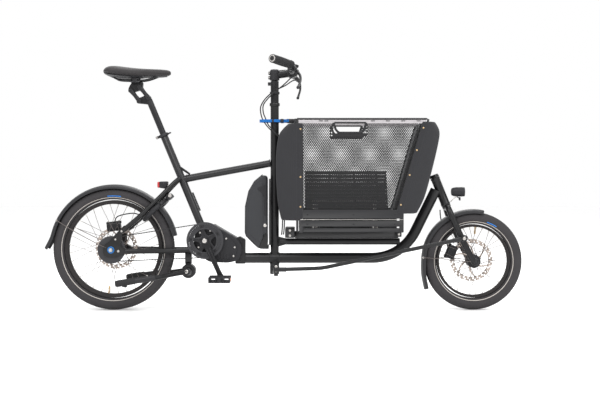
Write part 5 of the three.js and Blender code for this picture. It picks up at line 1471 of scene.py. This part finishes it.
def basket_base_and_strap():
    beam = prism(rounded([(753, 297.5), (1183, 297.5), (1183, 326.5), (753, 326.5)], 4), -18, 18, 3)
    foot = prism(rounded([(713, 301), (753, 301), (753, 343), (713, 343)], 5), -57, 57, 4)
    nose = prism(rounded([(1173, 304), (1195, 304), (1195, 326), (1173, 326)], 4), -34, 34, 4)
    posts = [block((x + dx, 0, 331), (5.6, 11.6, 20), 0, 1, 1) for x in (818, 1068) for dx in (0, 37)]
    bolts = both(*[bolt((733, 57, z), (0, 1, 0), 5, 3) for z in (311, 332)],
                 bolt((1184, 34, 315), (0, 1, 0), 5, 3))
    piece("basket_base_beam", "root", "basket_frame", TRIM, beam, foot, nose, *posts,
          replaces=("basket_base",))
    piece("basket_base_bolts", "root", "lock_steel", STEEL, *bolts)

    loop = []
    for k in range(25):
        turn = math.radians(90 + 7.5 * k)
        loop.append((math.cos(turn), math.sin(turn)))
    path = [Vector((728, 29, 785))] + [Vector((640 + 33 * c, 27.5 * s, 785)) for c,
                                       s in loop] + [Vector((728, -29, 785))]
    rings = []
    for i, p in enumerate(path):
        ahead, behind = path[min(i + 1, len(path) - 1)], path[max(i - 1, 0)]
        along = (ahead - behind).normalized()
        out = Vector((along.y, -along.x, 0))
        ripple = 0.25 * math.sin(i * 2.1)
        rings.append([p + out * (1.1 + ripple) + Vector((0, 0, 5.8)), p - out * 1.1 + Vector((0, 0, 5.8)),
                      p - out * 1.1 - Vector((0, 0, 5.8)), p + out * (1.1 + ripple) - Vector((0, 0, 5.8))])
    piece("strap_loop", "root", "strap_webbing", WEBBING, skin(rings), replaces=("basket_strap",), smooth=50)
    sliders = both(block((700, 30.5, 785), (13, 6, 15), 0, 1.4, 2),
                   block((662, 30, 785), (7, 5, 14), 0, 1.2, 2))
    anchor = block((735, 0, 785), (34, 58, 16), 0, 4, 5)
    piece("strap_sliders", "root", "black_plastic", PLASTIC, *sliders, anchor)
    corners = [block((760, side * 128, 778), (20, 14, 20), 0, 3, 4) for side in (RIGHT, LEFT)]
    for side, shape in zip((RIGHT, LEFT), corners):
        piece(f"basket_corner_{WORDS[side]}", f"side_{WORDS[side]}", "black_plastic", PLASTIC, shape)


# ---- hoses --------------------------------------------------------------------------------------
FRONT_HOSE = [
    (758, 128, 968), (742, 98, 962), (712, 56, 938), (668, 32, 914), (632, 14, 882), (612, -4, 848),
    (611, -8, 820),
    (620, -10, 790), (644, -20, 756), (676, -25, 728), (699, -31, 700), (704, -33, 620), (704, -33, 480),
    (702, -30, 360),
    (698, -22, 312),
]
REAR_HOSE = [
    (758, -128, 968), (742, -98, 960), (708, -54, 932), (668, -29, 902), (640, -18, 876), (622, -13, 850),
    (622, -16, 820), (630, -17, 798), (642, -20, 770), (660, -32, 748), (684, -36, 720), (706, -42, 690),
    (712, -43, 620), (712, -43, 480), (710, -38, 360), (706, -26, 314),
]


def hoses():
    for name, route in (("front", FRONT_HOSE), ("rear", REAR_HOSE)):
        obj = piece(f"{name}_hose_line", None, "hose_black", RUBBER, tube(smooth_path(route, 7), 2.5, 14),
                    replaces=(f"{name}_brake_hose",))
        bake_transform(obj)


# ---- studio -------------------------------------------------------------------------------------
def studio():
    mesh = bpy.data.meshes.new("floor")
    size = 14
    mesh.from_pydata([(-size, -size, -0.0005), (size, -size, -0.0005), (size, size, -0.0005),
                      (-size, size, -0.0005)], [],
                     [(0, 1, 2, 3)])
    floor = bpy.data.objects.new("floor", mesh)
    bpy.context.scene.collection.objects.link(floor)
    mesh.materials.append(surface("studio_floor", (0.99, 0.99, 0.99), 0.7, tint=0.01, patch=2, grain=60,
                                  depth=0.02))
    world = bpy.data.worlds.new("studio")
    bpy.context.scene.world = world
    world.use_nodes = True
    bpy.context.scene.view_settings.view_transform = "Standard"
    background = world.node_tree.nodes["Background"]
    background.inputs["Color"].default_value = (1, 1, 1, 1)
    background.inputs["Strength"].default_value = 1.0
    for name, where, size, power in (
        ("key", (-1.2, -3.2, 3.4), 2.4, 95), ("fill", (2.4, -2.6, 2.6), 2.0, 60),
        ("top", (0.2, 0.4, 3.8), 2.6, 60),
        ("back", (0.4, 3.4, 2.6), 2.4, 50),
    ):
        data = bpy.data.lights.new(name, "AREA")
        data.size = size
        data.energy = power
        lamp = bpy.data.objects.new(name, data)
        lamp.location = where
        lamp.rotation_euler = (Vector((0.1, 0, 0.5)) - Vector(where)).to_track_quat("-Z", "Y").to_euler()
        bpy.context.scene.collection.objects.link(lamp)
    data = bpy.data.cameras.new("camera")
    data.lens = 59.0
    data.sensor_width = 36.0
    data.shift_x = 0.005
    data.shift_y = -0.04
    camera = bpy.data.objects.new("camera", data)
    camera.location = (0.057, -4.1, 0.556)
    camera.rotation_euler = (math.radians(90), 0, 0)
    bpy.context.scene.collection.objects.link(camera)
    bpy.context.scene.camera = camera


def main():
    studio()
    for wheel, name in ((REAR, "rear"), (FRONT, "front")):
        tyre(f"{name}_casing", wheel)
        rim(f"{name}_rim", wheel, f"{name}_wheel")
        spokes(f"{name}_spokes", wheel)
        rotor(f"{name}_rotor", wheel)
    hubs()
    sprockets_and_belt()
    mudguards()
    frame_tubes()
    drive_unit()
    cranks_and_pedals()
    battery()
    seatpost()
    saddle()
    steering()
    fork()
    lights()
    ring_lock()
    stand()
    calipers()
    for side in (RIGHT, LEFT):
        basket_side(side)
        cloth_flap(side, front=False)
        cloth_flap(side, front=True)
    cloth_centre(front=False)
    cloth_centre(front=True)
    basket_floor()
    basket_base_and_strap()
    hoses()


main()
